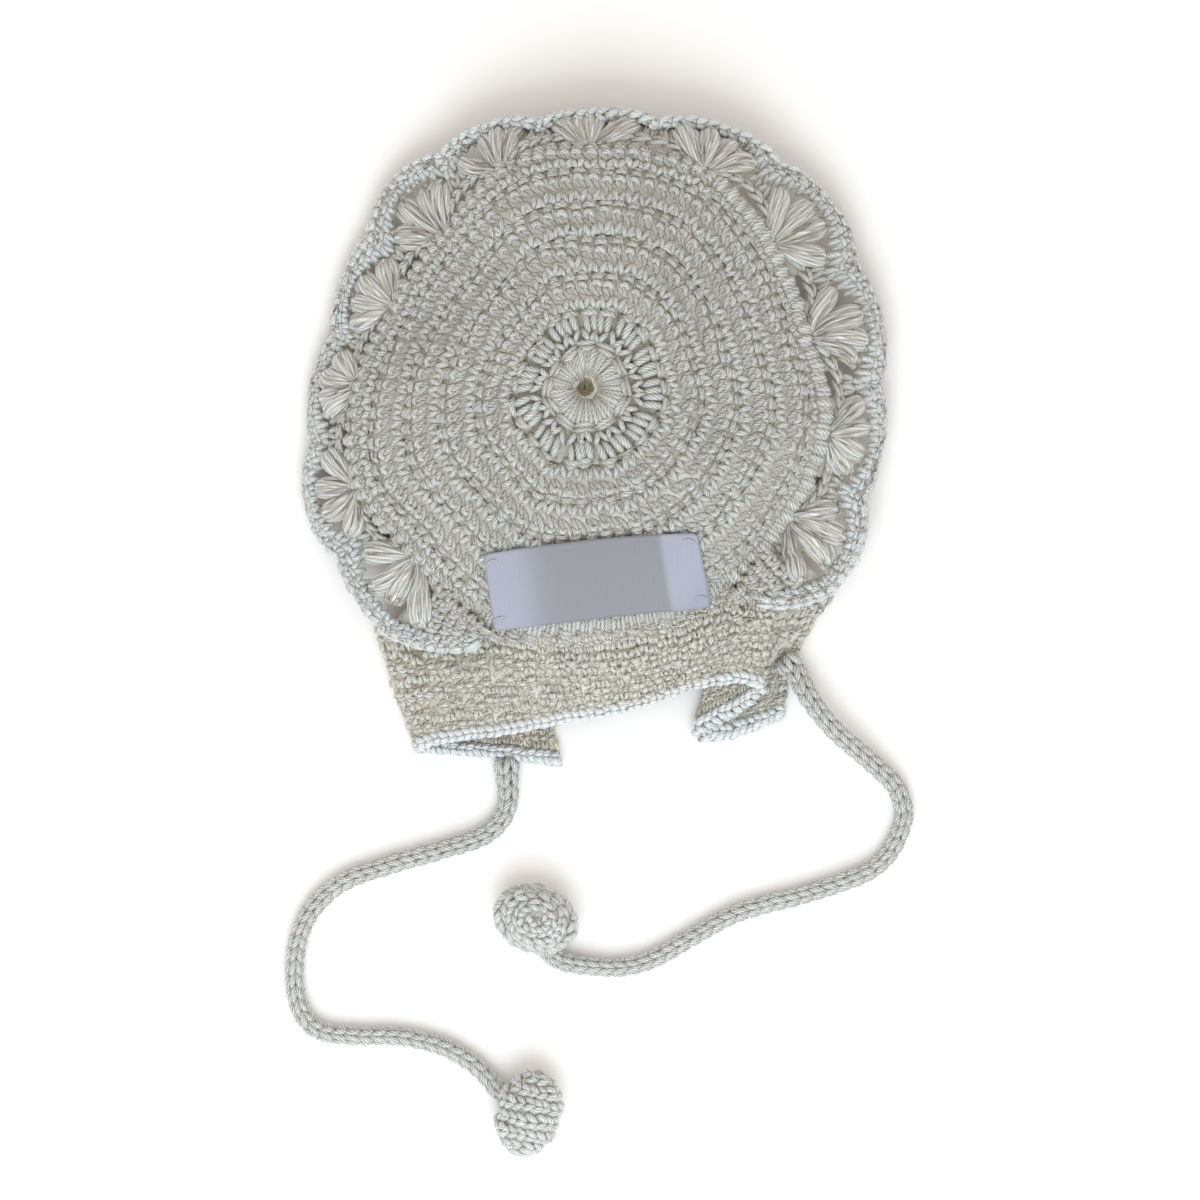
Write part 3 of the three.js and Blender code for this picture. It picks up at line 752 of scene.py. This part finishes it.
def mapped(paint, value, start, end, low=0.0, high=1.0):
    """Goes from low to high while the value goes from start to end."""
    node = new_node(paint, "MapRange", {
        "Value": value, "From Min": start, "From Max": end, "To Min": low, "To Max": high,
    })
    return node.outputs["Result"]


def maths(paint, kind, operation, values):
    """A Math or VectorMath node."""
    node = new_node(paint, kind, {})
    node.operation = operation
    plug(paint, node, values)
    return node.outputs


def bumps(paint, height, strength, distance):
    values = {"Height": height, "Strength": strength, "Distance": distance}
    return new_node(paint, "Bump", values).outputs["Normal"]


def yarn_material(name, light, deep, roughness):
    """Mercerised cotton: plies twisted together, that shine along their crests, as a painted glint in
    the base colour. Its colour goes from deep, between the strands, to light; the deep colour is
    painted bounce light."""
    paint, finish = new_material(name)
    place = new_node(paint, "TexCoord", {}).outputs["Object"]
    lift = attribute(paint, "lift")
    # Painted bounce light: a lighter, warmer colour on the strands' sides and in recesses, where lift
    # is low.
    colour = blend(paint, lift, deep, light, 0.55)
    patches = mapped(paint, noise(paint, place, PATCH_SCALE), 0.3, 0.7, 0.93, 1.04)
    strand = mapped(paint, attribute(paint, "tint"), 0, 1, 0.88, 1.12)
    both = maths(paint, "Math", "MULTIPLY", {0: patches, 1: strand})["Value"]
    shade = maths(paint, "VectorMath", "SCALE", {0: colour, "Scale": both})["Vector"]
    yarn_map = new_node(paint, "UVMap", {})
    yarn_map.uv_map = "yarn"
    turn = 2 * math.pi
    twist = {0: yarn_map.outputs["UV"], 1: (PLIES * turn, -turn / PLY_STEP, 0)}
    twist = maths(paint, "VectorMath", "DOT_PRODUCT", twist)["Value"]
    plies = maths(paint, "Math", "SINE", {0: twist})["Value"]
    fibres = noise(paint, place, FIBRE_SCALE)
    rough = maths(paint, "Math", "MULTIPLY_ADD", {0: fibres, 1: 0.8, 2: plies})["Value"]
    # Painted glint: bluish-white mixed into the base colour on the ply crests at the top of the
    # strands.
    top = mapped(paint, lift, 0.66, 1.0)
    crest = mapped(paint, rough, 0.7, 1.3)
    painted_glint_mix = new_node(paint, "Mix", {})
    painted_glint_mix.data_type = "RGBA"
    shine = maths(paint, "Math", "MULTIPLY", {0: top, 1: crest})["Value"]
    plug(paint, painted_glint_mix, {"Factor": shine, "A": shade, "B": (*PAINTED_GLINT, 1)})
    plug(paint, finish, {
        "Base Color": painted_glint_mix.outputs["Result"], "Roughness": roughness,
        "Normal": bumps(paint, rough, 1.0, 0.00016),
        "Sheen Weight": 0.1, "Sheen Roughness": 0.4, "Specular IOR Level": 0.9,
        "Coat Weight": 1.0, "Coat Roughness": 0.16, "Subsurface Weight": 1.0,
        "Subsurface Scale": 0.0008, "Subsurface Radius": (0.8, 0.9, 1.0),
    })
    return paint


def satin_material():
    """Label tape: fine warp threads with a silky shine, lighter where it is double. Its darker colour
    between the folds is partly painted shade.
    """
    paint, finish = new_material("satin")
    place = new_node(paint, "TexCoord", {}).outputs["Object"]
    wave = {"Vector": place, "Scale": THREAD_SCALE, "Distortion": 1.5}
    threads = new_node(paint, "TexWave", wave).outputs["Fac"]
    single = (0.24, 0.243, 0.268)
    double = (0.345, 0.36, 0.445)
    plug(paint, finish, {
        "Base Color": blend(paint, attribute(paint, "tint"), single, double),
        "Normal": bumps(paint, threads, 0.4, 0.00015), "Roughness": 0.42, "Sheen Weight": 0.3,
    })
    return paint


# ---- Ties ----
CORD_PITCH = 0.0037  # length of a V stitch
CORD_COLUMNS = 4
CORD_CORE = 0.0015
CORD_STRAND = 0.00092
CORD_TWIST = 0.012  # radians a stitch
CORD_FLARE, FLARE_LENGTH = 0.45, 0.007  # how much wider it is where it is sewn on, and how far
# One leg of a V, from its foot to its tip: how far along in stitches, how far out, how far aside.
LEG_RUN = np.linspace(-0.25, 1.15, 7)
LEG_OUT = np.array([0.0009, 0.00155, 0.0019, 0.002, 0.0019, 0.0016, 0.0010])
LEG_ASIDE = np.linspace(0.44, 0.05, 7)


def even_route(route, pitch):
    """Points along a route, spaced evenly by about pitch, and two directions across it."""
    fine = along_points(route, np.linspace(0, 1, 1500))
    length = lengths(fine)
    even = np.linspace(0, length[-1], int(round(length[-1] / pitch)) + 1)
    points = np.stack([np.interp(even, length, fine[:, k]) for k in range(3)], -1)
    across, third = cross_directions(points[None])
    return points, across[0], third[0]


def around(points, across, third, place, turn, radius):
    """Points round a cord: place in steps along it, turn in radians from its top."""
    row = np.clip(place.astype(int), 0, len(points) - 2)
    t = np.clip(place - row, 0, 1)[..., None]
    centre = points[row] * (1 - t) + points[row + 1] * t
    up = unit(across[row] * (1 - t) + across[row + 1] * t)
    out = unit(third[row] * (1 - t) + third[row + 1] * t)
    turn = turn[..., None]
    return centre + (up * np.cos(turn) + out * np.sin(turn)) * radius[..., None]


def cord_yarn(route):
    """Knitted cord: columns of V stitches round a core, wider where it is sewn on."""
    points, across, third = even_route(route, CORD_PITCH)
    yarn = Strands()
    count = len(points) - 1
    flare = 1 + CORD_FLARE * np.exp(-np.arange(count + 1) * CORD_PITCH / FLARE_LENGTH)
    yarn.add(points[None], CORD_CORE * flare[None], 8, 0.2)
    place = np.arange(count)[:, None] + LEG_RUN
    spread = 2 * math.pi / CORD_COLUMNS
    for column in range(CORD_COLUMNS):
        for way in (-1, 1):
            middle = spread * column + 0.3 + way * spread * LEG_ASIDE
            turn = middle + CORD_TWIST * place + jitter((count, 1), 0.03)
            radius = (LEG_OUT + jitter((count, 1), 0.00005)) * flare[:-1, None]
            paths = around(points, across, third, np.clip(place, 0, count), turn, radius)
            yarn.add(paths, CORD_STRAND)
    return yarn, points


def tie(name, route, nodes, finish):
    yarn, points = cord_yarn(route)
    piece = yarn.piece(name, nodes, "yarn", finish)


BALL_SKIN = 0.0018  # how far the braids stand out from the stuffing
BALL_ROWS = 8
BALL_LINKS = 19  # in the widest row
BALL_SHEET = (0.0001, 0.0007)


def ball_surface(place):
    """The stuffing: v goes from pole to pole and u round them. The poles are the ends of the ball,
    or its top and bottom."""
    turn = math.radians(place["turn"])
    axis = np.array([math.cos(turn), math.sin(turn), 0]) * (BALL_LENGTH / 2 - BALL_SKIN)
    beside = np.array([-math.sin(turn), math.cos(turn), 0]) * (BALL_WIDTH / 2 - BALL_SKIN)
    up = np.array([0, 0, 1]) * (BALL_HEIGHT / 2 - BALL_SKIN)
    centre = np.array([place["x"], place["y"], BALL_HEIGHT / 2])
    pole, first, second = (up, axis, beside) if place["pole"] == "up" else (axis, beside, up)

    def surface(u, v):
        turn = 2 * math.pi * np.asarray(u)[..., None]
        along = math.pi * np.asarray(v)[..., None]
        out = np.sin(along) * (1 + 0.05 * np.sin(2 * turn + 7 * along))
        return centre - pole * np.cos(along) + (first * np.cos(turn) + second * np.sin(turn)) * out

    return surface


def ball(name, place, finish):
    """Braids wound round and round, each drawn in against the next."""
    surface = ball_surface(place)
    yarn = Strands()
    turn = np.arange(28) / 28
    backing(yarn, surface, turn, np.linspace(0.02, 0.98, 21), *BALL_SHEET, closed=True)
    for row in range(BALL_ROWS):
        count = max(5, int(round(BALL_LINKS * math.sin(math.pi * (row + 0.5) / BALL_ROWS))))
        u = (np.arange(count) + 0.4 * row) / count
        v = (row + 0.12 + 0.5 * u) / BALL_ROWS
        stitches(yarn, surface, CHAIN, u, 1 / count, v, 0.8 / BALL_ROWS, radius=FINE)
    made = yarn.piece(name + "_crochet", [name], "yarn", finish)
    return made


# ---- Crown ----
RING_SHARE = 0.062  # share of the way to the rim where the first round starts
# Rounds of the crown: stitch, number of stitches, share of the way to the rim at its end, how far
# its stitches draw together in pairs, and thickness of its yarn.
ROUNDS = [
    (PETAL, 12, 0.184, 0, 1.0), (UPRIGHT, 24, 0.323, 0.10, 1.12), (DOUBLE, 48, 0.469, 0, 1.1),
    (DOUBLE, 64, 0.62, 0, 1.12), (DOUBLE, 80, 0.763, 0, 1.12), (DOUBLE, 96, 0.907, 0, 1.12),
    (BEAD, 112, 1.0, 0, 1.2),
]
ROUND_EDGES = [RING_SHARE] + [end for _, _, end, _, _ in ROUNDS]
OPEN_ROUNDS = 2  # the first rounds have gaps between their stitches
SLOT = 0.004  # between the sheets of two rounds, where small holes show, half its width
BEADS_FROM = 30  # where the last round shows as beads, from here to the neck band
BAND_SECTOR = (146, 207)  # where it is worked into the neck band
# Low and high sides of the sheets: between the strands, below them, and below the open rounds.
BETWEEN = (0.0004, 0.0009)
BELOW = (-0.0003, 0.0)
DEEPER = (-0.0008, -0.0004)
EYELET_WIDTH = 0.0046
# The loops of the magic ring: share of the way to the rim, and height over the fabric.
RING_LOOPS = np.array([
    (0.050, -0.0006), (0.050, -0.0022), (0.050, -0.0038), (0.048, -0.0054), (0.034, -0.0064),
    (0.018, -0.0068),
])


def crown_rounds(name, first, last, nodes, finish):
    yarn = Strands()
    if first == 0:
        ring_loops(yarn)
    for number in range(first, last):
        work_round(yarn, ROUND_EDGES[number], *ROUNDS[number])
    if last == len(ROUNDS):
        eyelets(yarn)
    crown_backing(yarn, first, last)
    yarn.piece(name, nodes, "yarn", finish)


def work_round(yarn, low, strands, count, high, pairing, thickness):
    u = np.arange(count) / count + RANDOM.random() / count
    u = u + pairing / count * np.where(np.arange(count) % 2 == 0, 1, -1)
    kinds = [(strands, u)]
    if strands is BEAD:
        at = 360 * u
        plain = (at <= BEADS_FROM) | (at > BAND_SECTOR[1])
        kinds = [(BEAD, u[(at > BEADS_FROM) & (at < BAND_SECTOR[0])]), (DOUBLE, u[plain])]
    for strands, u in kinds:
        stitches(
            yarn, crown_surface, strands, u, 1 / count, low, high - low, radius=YARN * thickness,
        )


def crown_backing(yarn, first, last):
    turn = np.arange(180) / 180
    closed = max(first, OPEN_ROUNDS)
    for number in range(closed, last):
        v = np.linspace(ROUND_EDGES[number] + SLOT, ROUND_EDGES[number + 1] - SLOT, 4)
        backing(yarn, crown_surface, turn, v, *BETWEEN, closed=True)
    v = np.linspace(ROUND_EDGES[closed], ROUND_EDGES[last] - 0.01, 14)
    backing(yarn, crown_surface, turn, v, *BELOW, closed=True)
    if first == 0:
        v = np.linspace(RING_SHARE + 0.03, ROUND_EDGES[closed] + 0.01, 9)
        backing(yarn, crown_surface, np.arange(90) / 90, v, *DEEPER, closed=True)


def ring_loops(yarn):
    """The loops of the magic ring, drawn in below the first round, and the yarn's end in its hole."""
    turn = np.linspace(0, 1, 25)
    for share, depth in RING_LOOPS:
        path = raised(crown_surface, turn, share, depth)
        normal = normal_of(crown_surface, turn, np.full_like(turn, share))
        yarn.add(path[None], 0.0010, 6, 0.3, np.full((1, len(turn)), depth), normal[None])


def eyelets(yarn):
    """The row of holes where the crown meets the neck band."""
    start, end = (angle / 360 for angle in BAND_SECTOR)
    width = EYELET_WIDTH / (2 * math.pi * 0.067)
    low = ROUND_EDGES[-2]
    u = np.arange(start, end, width)
    stitches(yarn, crown_surface, EYELET, u, width, low - 0.01, 1.03 - low)


# ---- Side wall ----
WALL_ROWS = 4
WALL_STITCHES = 104


def kept_wall(u, v):
    """True where the wall isn't cut away for the neck band."""
    place = wall_surface(u, v)
    line = np.where(place[..., 0] < 0, WALL_LEFT_LINE, WALL_RIGHT_LINE)
    return place[..., 1] > line + 0.0012


def whole_wall():
    """Start and end of the stretch of wall whose whole depth is kept."""
    fine = np.linspace(0, 1, 400)
    whole = kept_wall(*np.meshgrid(fine, np.linspace(0, 1, 12), indexing="ij")).all(axis=1)
    return fine[whole][0], fine[whole][-1]


def side_wall(finish):
    yarn = Strands()
    for row in range(WALL_ROWS):
        u = middles(WALL_STITCHES)
        v = row / WALL_ROWS + 0.03
        u = u[kept_wall(u, v + 0.12)]
        stitches(
            yarn, wall_surface, coarser(DOUBLE, 0.5), u, 1 / WALL_STITCHES, v, 0.93 / WALL_ROWS,
            sides=5, relief=0.9,
        )
    along = np.linspace(*whole_wall(), 90)
    backing(yarn, wall_surface, along, np.linspace(0.02, 0.98, 12), *BELOW)
    yarn.piece("side_wall_fabric", ["side_wall"], "yarn", finish)


# ---- Frill ----
PUFFS = 4
PUFF_STRANDS = 6
PUFF_STRAND = 0.00125  # radius of a puff's strand
PUFF_CORE = 0.0025  # radius of the filling between them
PUFF_WIDTH = 0.006
PUFF_HEIGHT = 0.0028
PUFF_FOOT = -0.06
PUFF_TURN = 0.72  # share of a puff's length from which it narrows towards its tip
WINDOW_HALF = 3.2  # degrees from a notch to the end of its window
CLOSED_NOTCH = FAN_LINES[-2]  # pressed together, so that its window doesn't show
LAST_HALF = 13  # widest half of a fan, in degrees
PANEL_FOOT = -0.16
PANEL_ROWS = 4
PANEL_STITCH = 2.7  # degrees
ARCH_LINKS = 6
ARCH_FOOT = 2.5  # degrees from the middle of a fan to the ends of its chains
POST_ASIDE = 1.3  # degrees from a notch to the posts beside it
BORDER_STITCHES = 132
BORDER_END = 0.93
EDGE_LINKS = 134
TURNED = 42  # degrees on both sides of the top, where the border's other side shows
TURNED_ROWS = (0.62, 0.77)


def border_line(at):
    """Where the border starts: beyond the puffs, and close to the rim at a notch."""
    return 0.64 - 0.32 * from_fan_middle(at) ** 2


def puff(yarn, middle, side, half):
    """One puff of a fan: long strands gathered at the foot, that swell and turn down at the tip."""
    tau = np.linspace(0, 1, 11)
    tip = border_line(middle + side * half * 0.98) * (1 + jitter(1, 0.07))
    aside = side + jitter(1, 0.05) + 0.10 * jitter(1, 1.0) * np.sin(math.pi * tau)
    at = frill_u(middle + aside * half * (0.08 + 0.90 * tau ** 0.8))
    v = PUFF_FOOT + (tip - PUFF_FOOT) * tau
    path = raised(frill_surface, at, v, 0.0)
    normal = normal_of(frill_surface, at, v)
    beside = np.cross(unit(np.gradient(path, axis=0)), normal)
    beyond = np.maximum(0, tau - PUFF_TURN) / (1 - PUFF_TURN)
    spread = np.sin(math.pi / 2 * np.minimum(1, tau / PUFF_TURN)) * (1 - 0.35 * beyond)
    bulge = np.maximum(0.15, spread) - 1.3 * np.maximum(0, tau - 0.8) / 0.2
    wide = PUFF_WIDTH / 2 * (1 + jitter(1, 0.12)) - 0.0004
    tall = PUFF_HEIGHT * (1 + jitter(1, 0.10))
    paths = []
    heights = []
    for strand in range(PUFF_STRANDS):
        turn = math.pi * (1.1 * strand / (PUFF_STRANDS - 1) - 0.05) + jitter(1, 0.09)
        across = np.cos(turn) * wide * spread
        over = np.sin(turn) * tall * bulge
        paths.append(path + beside * across[:, None] + normal * over[:, None])
        heights.append(over)
    thickness = PUFF_STRAND * (0.6 + 0.5 * np.sin(math.pi * tau ** 0.8))
    thickness = thickness * (1 + jitter((PUFF_STRANDS, 1), 0.08))
    normals = np.broadcast_to(normal, (PUFF_STRANDS, *normal.shape))
    yarn.add(np.array(paths), thickness, 6, 0.95, np.array(heights), normals, stretch=5)
    core = path + normal * (0.36 * tall * bulge)[:, None]
    swell = np.sqrt(np.clip(np.sin(math.pi * tau ** 1.2), 0, 1))
    yarn.add(core[None], 0.0002 + PUFF_CORE * swell[None], 10, 0.95, stretch=5)


def fan_span(fan):
    """Where a fan's puffs start and end: at its notches, or close by at the ends of the frill."""
    middle = FANS[fan, FAN_AT]
    return max(FAN_LINES[fan], middle - LAST_HALF), min(FAN_LINES[fan + 1], middle + LAST_HALF)


def window_half(notch):
    """Degrees from a notch to the ground of the fans beside it."""
    return -1 if notch == CLOSED_NOTCH else WINDOW_HALF


def puffs(yarn):
    for fan in range(len(FANS)):
        middle = FANS[fan, FAN_AT]
        start, end = fan_span(fan)
        for number in range(PUFFS):
            side = -0.75 + 1.5 * number / (PUFFS - 1)
            half = middle - start if side < 0 else end - middle
            puff(yarn, middle, side, half)
        ground(yarn, start + window_half(start), end - window_half(end), 0.34)
    panel(yarn, FRILL_START + 0.6, fan_span(0)[0] + 4, 3)
    panel(yarn, fan_span(len(FANS) - 1)[1] - 4, FRILL_END - 0.6, 0)


def ground(yarn, start, end, short):
    """Closed fabric behind the puffs, from the rim to a little short of the border."""
    at = np.linspace(start, end, 14)
    high = np.maximum(0.05, border_line(at) - short)[:, None]
    v = -0.12 + (high + 0.12) * np.linspace(0, 1, 5)
    backing(yarn, frill_surface, frill_u(at), v, 0.0, 0.0003)


def panel(yarn, start, end, beyond):
    """Plain rows of single crochet between the last fan and the end of the frill. Its ground goes
    on beyond its end."""
    ground(yarn, start - 3, end + beyond, -0.02)
    count = max(2, int(round((end - start) / PANEL_STITCH)))
    at = start + (end - start) * middles(count)
    height = (border_line(at) - PANEL_FOOT) / PANEL_ROWS
    width = (end - start) / count / (FRILL_END - FRILL_START)
    for row in range(PANEL_ROWS):
        low = PANEL_FOOT + row * height
        stitches(yarn, frill_surface, SINGLE, frill_u(at), width, low, height, radius=FINE)


GORE_SECTION = 11  # of the band, where its top edge leaves the crown's rim


def gore_surface(u, v):
    """Where the frill meets the neck band on the right: u from one to the other, v outward."""
    start = frill_surface(frill_u(FRILL_END - 1.0), 0.95 * np.asarray(v))
    end = band_surface((GORE_SECTION + np.asarray(v)) / (len(BAND) - 1), 0.0)
    share = np.asarray(u)[..., None]
    return start * (1 - share) + end * share


def gore(yarn):
    rows = 3
    u = (np.arange(4) + 0.3) / 4
    for row in range(rows):
        stitches(yarn, gore_surface, SINGLE, u, 1 / 4, row / rows, 1 / rows)
    backing(yarn, gore_surface, np.linspace(-0.1, 1.1, 8), np.linspace(0, 1, 8), 0.0, 0.0005)


def arches(yarn):
    """Chains from fan to fan, each over a window by the rim, and the posts on them."""
    for fan in range(len(FANS) - 1):
        start = FANS[fan, FAN_AT] + ARCH_FOOT
        end = FANS[fan + 1, FAN_AT] - ARCH_FOOT

        def arch(u, v):
            across = 0.13 * np.sin(math.pi * np.clip(u, 0, 1)) - 0.05 + 0.12 * v
            return frill_surface(frill_u(start + (end - start) * u), across)

        stitches(yarn, arch, CHAIN, middles(ARCH_LINKS), 1 / ARCH_LINKS, 0, 1, radius=0.0007)
        post = FAN_LINES[fan + 1] + np.array([-POST_ASIDE, POST_ASIDE])
        stitches(
            yarn, frill_surface, SINGLE[:2], frill_u(post),
            2 * POST_ASIDE / (FRILL_END - FRILL_START), 0.20, border_line(post) - 0.16,
        )


def border(yarn):
    """Two rows of single crochet, the chain along the edge, and the other side of the rows where
    the edge is turned over."""
    u = middles(BORDER_STITCHES)
    width = 1 / BORDER_STITCHES
    low = border_line(frill_at(u)) + 0.04
    step = (BORDER_END - low) / 2
    for at, start in ((u, low), (u + 0.4 * width, low + step)):
        stitches(yarn, frill_surface, SINGLE, at, width, start, step, radius=FINE, sides=5)
    # The edge chain is painted lit all round: full tint, and no bounce shading, so its painted glints
    # reach every side.
    u = middles(EDGE_LINKS)
    width = 1 / EDGE_LINKS
    for side in (1, -1):
        stitches(
            yarn, frill_surface, coarser(CHAIN), u, width, 0.90, 0.11, side=side, radius=0.00095,
            tint=1.0, shaded=False,
        )
    # The turned rows are painted lighter too, with painted glints all round.
    u = u[np.abs(frill_at(u)) < TURNED]
    for low in TURNED_ROWS:
        stitches(
            yarn, frill_surface, SINGLE, u, width, low, 0.15, side=-1, radius=FINE, tint=0.9,
            shaded=False,
        )
    u = np.linspace(0.004, 0.996, 240)
    start = border_line(frill_at(u))[:, None]
    v = start + (0.97 - start) * np.linspace(0.25, 0.97, 5)
    backing(yarn, frill_surface, u, v, 0.0003, 0.0008)


def frill(finish, trim):
    fans = Strands()
    puffs(fans)
    gore(fans)
    arches(fans)
    fans.piece("frill_fans", ["frill"], "yarn", finish)
    edge = Strands()
    border(edge)
    edge.piece("frill_border", [], "yarn", trim)


# ---- Neck band ----
# Rows of the band: low and high edge, stitch, number of stitches, and relief.
BAND_ROWS = [
    (-0.06, 0.06, SINGLE, 78, 1.0), (0.04, 0.17, EYELET[:4], 60, 1.0),
    (0.16, 0.36, DOUBLE, 64, 1.15), (0.35, 0.55, DOUBLE, 64, 1.1),
    (0.54, 0.72, DOUBLE, 74, 1.0), (0.72, 0.91, DOUBLE, 74, 0.9),
]
BAND_HOLES = (0.08, 0.15)  # the row of small holes below the top edge
FOLDED = [(0.0, 0.32), (0.66, 1.0)]  # stretches of the band that show their inner side
INNER_ROWS = 7
INNER_COLUMNS = 88
BAND_SHEET = 0.0005  # thickness of the sheets between its strands
EDGE_STITCHES = 86


def band_columns(v, columns):
    """Middle and width in u of columns of equal length along the band."""
    edges = even_shares(band_surface, v, columns)
    return (edges[:-1] + edges[1:]) / 2, np.diff(edges)


def inner_side(yarn):
    height = 0.88 / INNER_ROWS
    for row in range(INNER_ROWS):
        low = 0.04 + row * height
        middle, width = band_columns(low, INNER_COLUMNS)
        for start, end in FOLDED:
            shown = (middle > start) & (middle < end)
            stitches(
                yarn, band_surface, coarser(SINGLE, 0.5), middle[shown], width[shown], low, height,
                relief=0.8, radius=0.00075, sides=4,
            )


def neck_band(finish):
    yarn = Strands()
    for low, high, strands, columns, relief in BAND_ROWS:
        middle, width = band_columns((low + high) / 2, columns)
        stitches(
            yarn, band_surface, coarser(strands), middle, width, low, high - low, side=-1,
            relief=relief, radius=FINE, sides=5, loose=2.2,
        )
    inner_side(yarn)
    along = np.linspace(0.004, 0.996, 110)
    above_holes = (-0.03, BAND_HOLES[0], 0.0005)
    below_holes = (BAND_HOLES[1], 0.97, 0.0005)
    behind_holes = (0, 0.97, -0.0004)
    for start, end, low in (above_holes, below_holes, behind_holes):
        v = np.linspace(start, end, 8)
        backing(yarn, band_surface, along, v, low, low + BAND_SHEET, side=-1)
    yarn.piece("neck_band_fabric", ["neck_band"], "band_yarn", finish)


def neck_edge(finish):
    yarn = Strands()
    middle, width = band_columns(0.96, EDGE_STITCHES)
    # No bounce shading on the edge chain, so its painted glints reach every side.
    for side in (-1, 1):
        stitches(
            yarn, band_surface, CHAIN, middle, width, 0.90, 0.11, side=side, radius=0.00096,
            relief=1.3, shaded=False,
        )
    yarn.piece("neck_edge_braid", ["neck_edge"], "band_yarn", finish)


# ---- Label ----
LABEL_OVER = 0.0024  # over the fabric's middle, on top of the stitches
LABEL_THICK = 0.0004
LABEL_BOW = 0.0044  # a quarter of it is how far the top edge bows out
LABEL_ROUNDED = 0.03  # share of its length over which a corner is rounded


def label_surface(u, v):
    top_left, top_right, bottom_right, bottom_left = LABEL_CORNERS
    u = np.asarray(u, float)[..., None]
    v = np.asarray(v, float)[..., None]
    end = np.clip(1 - np.minimum(u, 1 - u) / LABEL_ROUNDED, 0, 1)
    v = 0.5 + (v - 0.5) * (1 - 0.08 * (1 - np.sqrt(1 - end ** 2)))
    top = top_left * (1 - u) + top_right * u + np.array([0, LABEL_BOW]) * u * (1 - u)
    bottom = bottom_left * (1 - u) + bottom_right * u
    place = top * (1 - v) + bottom * v
    at = np.degrees(np.arctan2(place[..., 0], place[..., 1]))
    share = np.hypot(place[..., 0], place[..., 1]) / rim_value(at, RIM_RADIUS)
    return np.concatenate([place, crown_point(at, share)[..., 2:]], axis=-1)


def folded_ends(u):
    """Bright where the ends of the tape are folded under it, and darker between the folds, with a
    line of painted shade along the fold near the right end.
    """
    left = 1 / (1 + np.exp((u - 0.20) / 0.035))
    right = 1 / (1 + np.exp((0.82 - u) / 0.006))
    # Painted shade along the fold near the right end.
    painted_fold_shade = 0.35 * np.exp(-(((u - 0.80) / 0.02) ** 2))
    return np.clip(left + right - painted_fold_shade, 0, 1)


def tacks(finish):
    """Small loops of sewing thread that hold the ends of the label: their places along and across
    it, and whether they reach out to its right or left."""
    yarn = Strands()
    turn = np.linspace(0, math.pi, 9)
    for u, v, way in ((0.955, 0.13, 1), (0.965, 0.88, 1), (0.03, 0.14, -1), (0.03, 0.88, -1)):
        along = u + way * 0.028 * np.cos(turn)
        across = v - 0.05 * np.sin(turn) + 0.02 * np.cos(turn)
        over = LABEL_OVER + LABEL_THICK + 0.0001 + 0.00025 * np.sin(turn)
        path = raised(label_surface, along, across, over, side=-1)
        yarn.add(path[None], 0.00016, 6, 1.0)
    yarn.piece("label_tacks", [], "satin", finish)


def label(finish, thread):
    yarn = Strands()
    u, v = np.meshgrid(np.linspace(0, 1, 80), np.linspace(0, 1, 30), indexing="ij")
    heights = (LABEL_OVER, LABEL_OVER + LABEL_THICK)
    layers = [raised(label_surface, u, v, height, side=-1) for height in heights]
    yarn.sheet(np.stack(layers), tint=folded_ends(u))
    made = yarn.piece("label_tape", ["label"], "satin", finish)
    tacks(thread)


# ---- Assembly ----
camera()
key_light()
sky_light()
floor()

cotton = yarn_material("cotton", (0.47, 0.459, 0.408), (0.90, 0.815, 0.61), 0.45)
cream = yarn_material("cream_cotton", (0.55, 0.52, 0.425), (0.91, 0.83, 0.63), 0.45)
bright = yarn_material("bright_cotton", (0.555, 0.55, 0.515), (0.95, 0.89, 0.72), 0.4)
# A lighter, bluer copy of the same yarn: painted highlight on the neck band's edge chain.
edging = yarn_material("edging_cotton_painted_highlight", (0.70, 0.72, 0.73), (0.96, 0.92, 0.80), 0.4)
ball_left = ball("tie_ball_left", BALL_LEFT, bright)
ball_right = ball("tie_ball_right", BALL_RIGHT, bright)
tie("tie_left_cord", TIE_LEFT, ["tie_left"], cotton)
tie("tie_right_cord", TIE_RIGHT, ["tie_right"], cotton)

crown_rounds("crown_inner_rounds", 0, 4, [], cotton)
crown_rounds("crown_outer_rounds", 4, len(ROUNDS), ["crown"], cotton)
side_wall(cotton)
# The border's cotton is a lighter, bluer copy of the same yarn: painted highlight on the frill's
# border.
frill(cotton, yarn_material("border_cotton_painted_highlight", (0.60, 0.62, 0.615), (0.94, 0.89, 0.76), 0.4))
neck_band(cream)
neck_edge(edging)
label(satin_material(), bright)
